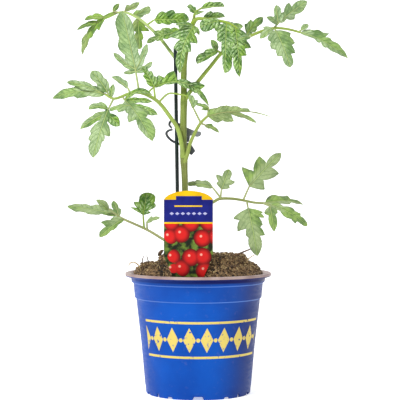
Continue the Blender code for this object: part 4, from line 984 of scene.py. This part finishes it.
def wall_profile():
    """The pot's outer side from the lip's crown to the foot."""
    lip_foot = POT_HEIGHT - LIP_HEIGHT
    found = profile((RIM_RADIUS, POT_HEIGHT, (-0.9, 0), (-0.25, -0.3), (0, -0.9)),
                    (RIM_RADIUS, lip_foot, (0, 0.6), (-0.4, 0), (-1.2, -0.3)),
                    (COLLAR_RADIUS, lip_foot, (1.6, -0.4), (0.4, -0.9), (0, -1.8)),
                    (COLLAR_RADIUS, COLLAR_FOOT, (-0.25, 1.1), (-0.55, 0.4)),
                    (UPPER_RADIUS, COLLAR_FOOT, (0.4, -0.1), (0, -0.6)),
                    (UPPER_RADIUS, STEP_FOOT, (-1.1, 1), (-1.4, 0.4)),
                    (BODY_RADIUS, STEP_FOOT, (0.3, -0.1), (0, -0.6)))
    steps = 8
    for radius, height in ((WAIST_RADIUS, WAIST_HEIGHT), (FOOT_RADIUS + 1.1, FOOT_FLARE_TOP)):
        from_radius, from_height = found[-1]
        found += [(mix(from_radius, radius, step / steps), mix(from_height, height, step / steps))
                  for step in range(1, steps + 1)]
    return found + profile((FOOT_RADIUS, 0, (0.6, 5), (0.2, 1), (-0.1, 0.3), (-0.4, 0)))


def inner_radius(height):
    below_lip = 8
    ladder = sorted((z, r - WALL) for r, z in wall_profile()[below_lip:])
    for (low_z, low_r), (high_z, high_r) in zip(ladder, ladder[1:]):
        if low_z <= height <= high_z:
            return mix(low_r, high_r, (height - low_z) / max(high_z - low_z, 1e-6))
    return ladder[-1][1]


SOIL_EDGE = inner_radius(FILL_EDGE) - SOIL_GAP


def make_pot(material):
    inside = [(inner_radius(z), z) for z in (FLOOR_TOP, FOOT_FLARE_TOP, WAIST_HEIGHT, STEP_FOOT - 1.4)]
    inside += profile((UPPER_RADIUS - WALL, STEP_FOOT, (-1.2, 0)),
                      (UPPER_RADIUS - WALL, COLLAR_FOOT, (0, -1.2)),
                      (COLLAR_RADIUS - WALL, COLLAR_FOOT, (-0.4, 0)),
                      (COLLAR_RADIUS - WALL, POT_HEIGHT, (0, -0.6 - LIP_HEIGHT), (1.2, -1.6)),
                      (RIM_RADIUS, POT_HEIGHT, (-3, -0.3), (-2.3, 0)))
    foot_inner = FOOT_RADIUS - WALL
    outline = wall_profile() + [(foot_inner, 0), (foot_inner, FLOOR_UNDERSIDE), (0, FLOOR_UNDERSIDE),
                                (0, FLOOR_TOP)] + inside
    sheet = Sheet()
    rings = [sheet.add_ring(circle(radius, height, POT_STEPS)) if radius
             else sheet.add_ring([(0, 0, height)]) * POT_STEPS for radius, height in outline]
    sheet.skin(rings + rings[:1])
    pot = piece_from_sheet("pot_shell", sheet, [material], 38)
    cutters = [*foot_notches(), *drain_holes()]
    for piece in cutters:
        step = pot.modifiers.new("cut", "BOOLEAN")
        step.operation = "DIFFERENCE"
        step.solver = "EXACT"
        step.object = piece
    bpy.context.view_layer.update()
    whole = bpy.data.meshes.new_from_object(pot.evaluated_get(bpy.context.evaluated_depsgraph_get()))
    pot.modifiers.clear()
    pot.data = whole
    for piece in cutters:
        bpy.data.objects.remove(piece, do_unlink=True)
    dress(pot, "pot")


def cutter(near, far):
    """A prism between two outlines."""
    sheet = Sheet()
    ends = sheet.add_ring(near), sheet.add_ring(far)
    sheet.add_face(ends[0][::-1])
    sheet.add_face(ends[1])
    sheet.skin(ends)
    return piece_from_sheet("cutter", sheet, [])


def foot_notches():
    """Wedges for the notches in the pot's foot, alike at the front and the back."""
    # Each notch is an angle from the middle, a width and a height.
    notches = [(0, 8.6, 3)] + [(side * angle, width, height) for side in (1, -1)
                               for angle, width, height in ((32, 5, 1.8), (49, 2.6, 3), (69, 5, 2.4))]
    for turn in (0, 180):
        for angle, width, height in notches:
            heading = math.radians(angle + turn - 90)
            out = Vector((math.cos(heading), math.sin(heading), 0))
            side = Vector((-out.y, out.x, 0))
            corners = [side * (across * width) + Vector((0, 0, up))
                       for across, up in ((-0.65, -1), (0.65, -1), (0.4, height), (-0.4, height))]
            yield cutter(*[[out * reach + corner for corner in corners]
                           for reach in (FOOT_RADIUS - 4, FOOT_RADIUS + 4)])


def drain_holes():
    for x, y, _ in circle(DRAIN_CIRCLE, 0, DRAIN_COUNT, 0.5):
        yield cutter(*[[Vector((x, y, 0)) + Vector(point) for point in circle(DRAIN_RADIUS, height, 32)]
                       for height in (1, 8)])


def soil_height(x, y):
    """The heaped peat: a root ball that stands proud, its steep edge, and the fill down to the wall."""
    away = math.hypot(x - BALL_CENTRE, y)
    radius = math.hypot(x, y)
    ripple = 2 * noise.noise(Vector((x * 0.05, y * 0.05, 1)))
    ball = 1 - smooth(BALL_RADIUS + ripple - 2, BALL_RADIUS + ripple + 3, away)
    fill = mix(FILL_TOP, FILL_EDGE, smooth(48, SOIL_EDGE + 3, radius))
    lumps = 1.9 * noise.noise(Vector((x * 0.13, y * 0.13, 4)))
    crumbs = 1.5 * noise.noise(Vector((x * 0.42, y * 0.42, 9))) + 0.55 * noise.noise(Vector((x, y, 2)))
    calm = 1 - smooth(SOIL_EDGE - 6, SOIL_EDGE, radius)
    height = mix(fill, BALL_TOP, ball) + (lumps + crumbs) * mix(0.35, 1, calm) + ripple * 0.4 * calm
    # The peat lies lower in front of the label.
    hollow = (1 - smooth(20, 25, abs(x - LABEL_CENTRE))) * (1 - smooth(-48, -43, y))
    return mix(height, min(height, LABEL_HOLLOW + 0.4 * lumps), hollow)


def on_soil(x, y):
    return Vector((x, y, soil_height(x, y)))


def random_spot(draw, inset):
    """A random place on the peat, at least inset from its edge."""
    radius = (SOIL_EDGE - inset) * math.sqrt(draw.random())
    angle = draw.uniform(0, math.tau)
    return on_soil(radius * math.cos(angle), radius * math.sin(angle))


def make_soil(materials):
    draw = random.Random(SOIL_SEED)
    sheet = Sheet()
    middle = sheet.add_point(on_soil(0, 0))
    rings = []
    for index in range(1, SOIL_RINGS + 1):
        points = circle(SOIL_EDGE * index / SOIL_RINGS, 0, SOIL_STEPS, 0.5 * (index % 2))
        rings.append(sheet.add_ring([on_soil(x, y) for x, y, _ in points]))
    for height in (COLLAR_FOOT, COLLAR_FOOT - 1.4, STEP_FOOT, STEP_FOOT - 1.4, WAIST_HEIGHT,
                   FOOT_FLARE_TOP, SOIL_FOOT):
        rings.append(sheet.add_ring(circle(inner_radius(height) - SOIL_GAP, height, SOIL_STEPS)))
    sheet.fan(rings[0], middle)
    sheet.skin(rings)
    sheet.fan(rings[-1], sheet.add_point(Vector((0, 0, SOIL_FOOT))))
    add_crumbs(sheet, draw)
    add_fibres(sheet, draw)
    dress(piece_from_sheet("soil_peat", sheet, materials, 180), "soil")


def add_crumbs(sheet, draw):
    """Loose crumbs and bits of bark, each an uneven little body."""
    ball = bmesh.new()
    bmesh.ops.create_icosphere(ball, subdivisions=1, radius=1)
    corners = [corner.co.copy() for corner in ball.verts]
    faces = [[corner.index for corner in face.verts] for face in ball.faces]
    ball.free()
    for _ in range(CRUMB_COUNT):
        centre = random_spot(draw, 2.4)
        size = draw.uniform(0.45, 1.35) if draw.random() < 0.9 else draw.uniform(1.2, 2.2)
        squash = Vector((draw.uniform(0.7, 1.4), draw.uniform(0.6, 1.1), draw.uniform(0.45, 0.8)))
        turn = draw.uniform(0, math.tau)
        slot = draw.choice((PEAT, PEAT, PEAT, BARK, BARK, FIBRE))
        start = len(sheet.points)
        for corner in corners:
            x, y, z = corner * squash * (size * (1 + draw.uniform(-0.22, 0.22)))
            sheet.add_point(centre + Vector((x * math.cos(turn) - y * math.sin(turn),
                                             x * math.sin(turn) + y * math.cos(turn), z + size * 0.25)))
        for face in faces:
            sheet.add_face([start + corner for corner in face], slot)


def add_fibres(sheet, draw):
    """Straw-like fibres that lie on the peat, and a few that stick out of it."""
    farthest = SOIL_EDGE - 1
    for index in range(FIBRE_COUNT):
        foot = random_spot(draw, 4)
        heading = draw.uniform(0, math.tau)
        length = draw.uniform(2, 7)
        bend = draw.uniform(-0.9, 0.9)
        rise = draw.uniform(0, 0.16) if index % 6 else draw.uniform(0.2, 0.5)
        points = []
        for step in range(7):
            share = step / 6
            way = heading + bend * share
            x = foot.x + math.cos(way) * length * (share - 0.5)
            y = foot.y + math.sin(way) * length * (share - 0.5)
            inward = min(1, farthest / math.hypot(x, y))
            x *= inward
            y *= inward
            points.append(Vector((x, y, soil_height(x, y) + 0.25 + rise * length * share * share)))
        size = draw.uniform(0.12, 0.34)
        add_tube(sheet, points, [size * (1 - 0.5 * abs(step / 3 - 1)) for step in range(7)], 5, slot=FIBRE)
    # Twigs, a curled fibre, and a shrivelled scrap of leaf on its stalk, as points, radii and slot.
    loose = (
        (((27, -26, 119), (36, -27, 123.2), (47, -28, 127.6)), (0.85, 0.75, 0.5), BARK),
        (((43, -20, 116), (46, -21, 119.6), (50.6, -22, 122.4)), (0.5, 0.45, 0.3), FIBRE),
        (((-51, -20, 108), (-53.4, -21, 113), (-57, -22, 115.6), (-60.4, -22, 115.2), (-62.4, -21, 112.6)),
         (0.6, 0.55, 0.5, 0.45, 0.3), FIBRE),
        (((-48.6, -24, 108.5), (-50, -25, 116), (-48.8, -26, 121.4)), (0.6, 0.5, 0.3), BARK),
        (((-43.4, -25, 110), (-44.8, -25.5, 117.2), (-46, -26, 122)), (0.5, 0.45, 0.25), BARK),
        (((-31.2, -30, 113), (-32.2, -30, 119), (-33.6, -30, 123)), (0.5, 0.4, 0.4), BARK),
        (((-36, -31, 121.4), (-34.4, -30, 123.4), (-32.4, -29.5, 125.6), (-31, -29, 126.4)),
         (0.3, 1.5, 1.3, 0.3), BARK),
    )
    for points, sizes, slot in loose:
        path = curve_through(spots(points), 5)
        add_tube(sheet, path, values_through(sizes, 5), 7, slot=slot, ridges=0.2)


def make_stake(material):
    foot = spot(STAKE_FOOT)
    top = spot(STAKE_TOP)
    heading = (top - foot).normalized()
    length = (top - foot).length
    steps = 60
    points = [foot] + [foot + heading * mix(6, length - 0.9, index / steps) for index in range(steps + 1)]
    points += [top - heading * 0.4, top - heading * 0.12]
    # The coat swells a little at every second step.
    radii = [0.3] + [STAKE_RADIUS * (0.98 if index % 2 else 1) for index in range(steps + 1)]
    radii += [STAKE_RADIUS * 0.82, STAKE_RADIUS * 0.5]
    sheet = Sheet()
    add_tube(sheet, points, radii, 24)
    dress(piece_from_sheet("stake_rod", sheet, [material], 50), "stake")


def make_stem(materials):
    path, sizes = zip(*STEM)
    points = curve_through(spots(path), 12)
    radii = values_through(sizes, 12)
    swollen = [radius * (1 + 0.1 * max(math.exp(-((point.z - joint) / 4) ** 2) for joint in STEM_JOINTS))
               for point, radius in zip(points, radii)]
    sheet = Sheet()
    add_tube(sheet, points, swollen, 28, ridges=0.03)
    sheet.tones = [(smooth(190, 290, point.z), 0) for point in sheet.points]
    above_soil = 24
    add_hairs(sheet, points[above_soil:], swollen[above_soil:], 9, 1.1, random.Random(STEM_SEED), 1)
    dress(piece_from_sheet("stem_main", sheet, materials), "main_stem")


def add_plate(sheet, outline, depth, thickness, bevel):
    """A plate standing in the X-Z plane. Its edges are cut back by the bevel, or flare where the
    bevel is negative."""
    centre = Vector((sum(x for x, z in outline) / len(outline), sum(z for x, z in outline) / len(outline)))
    rim = 0.5 - abs(bevel) / thickness
    rings = []
    for inset, offset in ((bevel, -0.5), (0, -rim), (0, rim), (bevel, 0.5)):
        ring = []
        for index, corner in enumerate(outline):
            here = Vector(corner)
            tangent = (Vector(outline[(index + 1) % len(outline)]) - Vector(outline[index - 1])).normalized()
            inward = Vector((-tangent.y, tangent.x))
            if inward.dot(centre - here) < 0:
                inward = -inward
            moved = here + inward * inset
            ring.append(sheet.add_point(Vector((moved.x, depth + offset * thickness, moved.y))))
        rings.append(ring)
    sheet.add_face(rings[0][::-1])
    sheet.add_face(rings[-1])
    sheet.skin(rings)


def rounded(outline):
    """Corners of a closed outline cut round."""
    steps = 4
    found = []
    for index, corner in enumerate(outline):
        here = Vector(corner)
        before = Vector(outline[index - 1]) - here
        after = Vector(outline[(index + 1) % len(outline)]) - here
        reach = min(before.length, after.length, 1.6) * 0.4
        start = here + before.normalized() * reach
        end = here + after.normalized() * reach
        for share in (step / steps for step in range(steps + 1)):
            rest = 1 - share
            found.append(tuple(start * rest ** 2 + here * (2 * share * rest) + end * share ** 2))
    return found


def make_clip(material):
    """One moulded plastic clip with two fingers round the stake and two levers."""
    sheet = Sheet()
    upper_plate = [(-17.6, 240.4), (-12.8, 237.2), (-2.6, 232.8), (1.6, 232.6), (2.8, 231), (1.4, 228.8),
                   (-1.2, 228.2), (-5.4, 229.8), (-7.4, 229.4), (-8.6, 223.8), (-10.4, 223.6), (-9.8, 229.6),
                   (-13.6, 233.8), (-18, 237)]
    lower_block = [(-11.2, 222.6), (-7.2, 221.8), (-3.1, 215.4), (-6.1, 212), (-11, 216.2)]
    add_plate(sheet, rounded(upper_plate), 6.4, 1.6, -0.3)
    add_plate(sheet, rounded(lower_block), 6.8, 3.6, -0.5)
    # Two fingers and the bar that joins them, as points and radii.
    fingers = (
        (((-14, 6.2, 237.4), (-19.5, 7.2, 240), (-24.2, 5.6, 241.8), (-25.8, 3.6, 238.6),
          (-23.6, 2.6, 235.6)), (1, 1.1, 1.1, 1, 0.8)),
        (((-23, 1.4, 234.2), (-26.4, 1.2, 233.4), (-28.4, 2.2, 231), (-27, 4.2, 227.6), (-23.2, 7, 224.2),
          (-19, 8, 222.2), (-13.4, 7.6, 220), (-9.6, 7, 219.4)), (0.8, 1, 1.1, 1.1, 1.1, 1.1, 1.1, 1.1)),
        (((-15.2, 7.2, 239), (-15, 7.4, 219.2)), (1.5, 1.5)),
    )
    for path, sizes in fingers:
        add_tube(sheet, curve_through(spots(path), 8), values_through(sizes, 8), 18)
    dress(piece_from_sheet("clip_grip", sheet, [material], 35), "clip")


def label_outline():
    steps = 48
    half = LABEL_HALF_WIDTH
    arch = []
    for index in range(steps + 1):
        across = math.cos(math.pi * index / steps)
        rise = (LABEL_ARCH_TOP - LABEL_ARCH_FOOT) * max(0, 1 - across * across) ** 0.6
        arch.append((half * across, LABEL_ARCH_FOOT + rise))
    left = [(-half, LABEL_TAPER_TOP + 1.5), (-half + 0.4, LABEL_TAPER_TOP - 1),
            (-LABEL_TONGUE_HALF_WIDTH, LABEL_TONGUE_TOP), (-LABEL_TIP_HALF_WIDTH, LABEL_TIP)]
    right = [(-x, z) for x, z in reversed(left)]
    return [(LABEL_CENTRE + x, z) for x, z in arch + left + right]


def make_label(material):
    sheet = Sheet()
    add_plate(sheet, label_outline(), LABEL_DEPTH, LABEL_THICKNESS, 0.12)
    dress(piece_from_sheet("label_tag", sheet, [material], 30), "label")


# Studio

def make_stage(material):
    """A white floor that curves up behind the plant."""
    half = 3000
    front = -2600
    back = 1600
    bend = 600
    wall_top = 3200
    run = [(front, 0), (back, 0)]
    run += [(back + bend * math.sin(turn), bend - bend * math.cos(turn))
            for turn in (math.radians(step * 6) for step in range(1, 16))]
    run += [(back + bend, wall_top)]
    sheet = Sheet()
    pairs = [sheet.add_ring(((-half, y, z), (half, y, z))) for y, z in run]
    for near, far in zip(pairs, pairs[1:]):
        sheet.add_face((near[0], near[1], far[1], far[0]))
    floor = piece_from_sheet("studio_floor", sheet, [material])


def add_area(name, location, size, power):
    """A round lamp aimed at the plant. Its place and size are in metres and its power in watts."""
    data = bpy.data.lights.new(name, "AREA")
    data.shape = "DISK"
    data.size = size
    data.energy = power
    lamp = place(bpy.data.objects.new(name, data))
    lamp.location = location
    lamp.rotation_euler = (Vector((0, 0, 0.17)) - Vector(location)).to_track_quat("-Z", "Y").to_euler()


def make_camera():
    data = bpy.data.cameras.new("front")
    data.sensor_width = 36
    data.lens = 115.8
    data.shift_x = 0.0045
    data.shift_y = -0.0466
    camera = place(bpy.data.objects.new("front", data))
    camera.location = (0, -EYE_DISTANCE * MM, EYE_HEIGHT * MM)
    camera.rotation_euler = (math.radians(90), 0, 0)
    bpy.context.scene.camera = camera


def light_scene():
    bpy.context.scene.view_settings.view_transform = "Standard"
    world = bpy.data.worlds.new("studio")
    bpy.context.scene.world = world
    world.use_nodes = True
    sky = world.node_tree.nodes["Background"]
    sky.inputs["Color"].default_value = (1, 1, 1, 1)
    sky.inputs["Strength"].default_value = 0.34
    add_area("key", (-0.8, -1.1, 1.5), 0.35, 26)
    add_area("fill", (1.2, -1.2, 0.7), 1.2, 3.5)
    add_area("rim", (0.3, 1.1, 1.4), 0.8, 6)


make_camera()
light_scene()
make_stage(cloudy_finish("studio_white", 3, (250, 250, 250), (254, 254, 254), 0.9, 0.0001, 0.1,
                         Emission_Color=(1, 1, 1, 1), Emission_Strength=0.5))

upper_face = leaf_finish("leaf_upper_face", False)
under_face = leaf_finish("leaf_under_face", True)
petiole = stalk_finish("petiole_green", (136, 136, 88), (134, 166, 10), (108, 118, 44))
trunk = stalk_finish("stem_green", (112, 122, 44), (104, 128, 20), (82, 86, 34))
hair = cloudy_finish("stem_hair", 400, (206, 214, 160), (228, 232, 196), 0.6, 0.00002, 0.3)
for leaf_name in LEAVES:
    make_foliage(leaf_name, [upper_face, under_face, petiole, hair])
make_stem([trunk, hair])
make_stake(mottled_finish("stake_coat", (120, 4), (900, 3), (6, 24, 24), (14, 38, 34), (0.3, 0.45), 0.00008,
                          IOR=1.48))
make_clip(clip_finish())
make_label(label_finish())
make_pot(pot_finish())
make_soil([peat_finish(), fibre_finish("peat_fibre", (128, 104, 62), (214, 188, 138)),
           fibre_finish("peat_bark", (44, 30, 20), (112, 82, 52))])
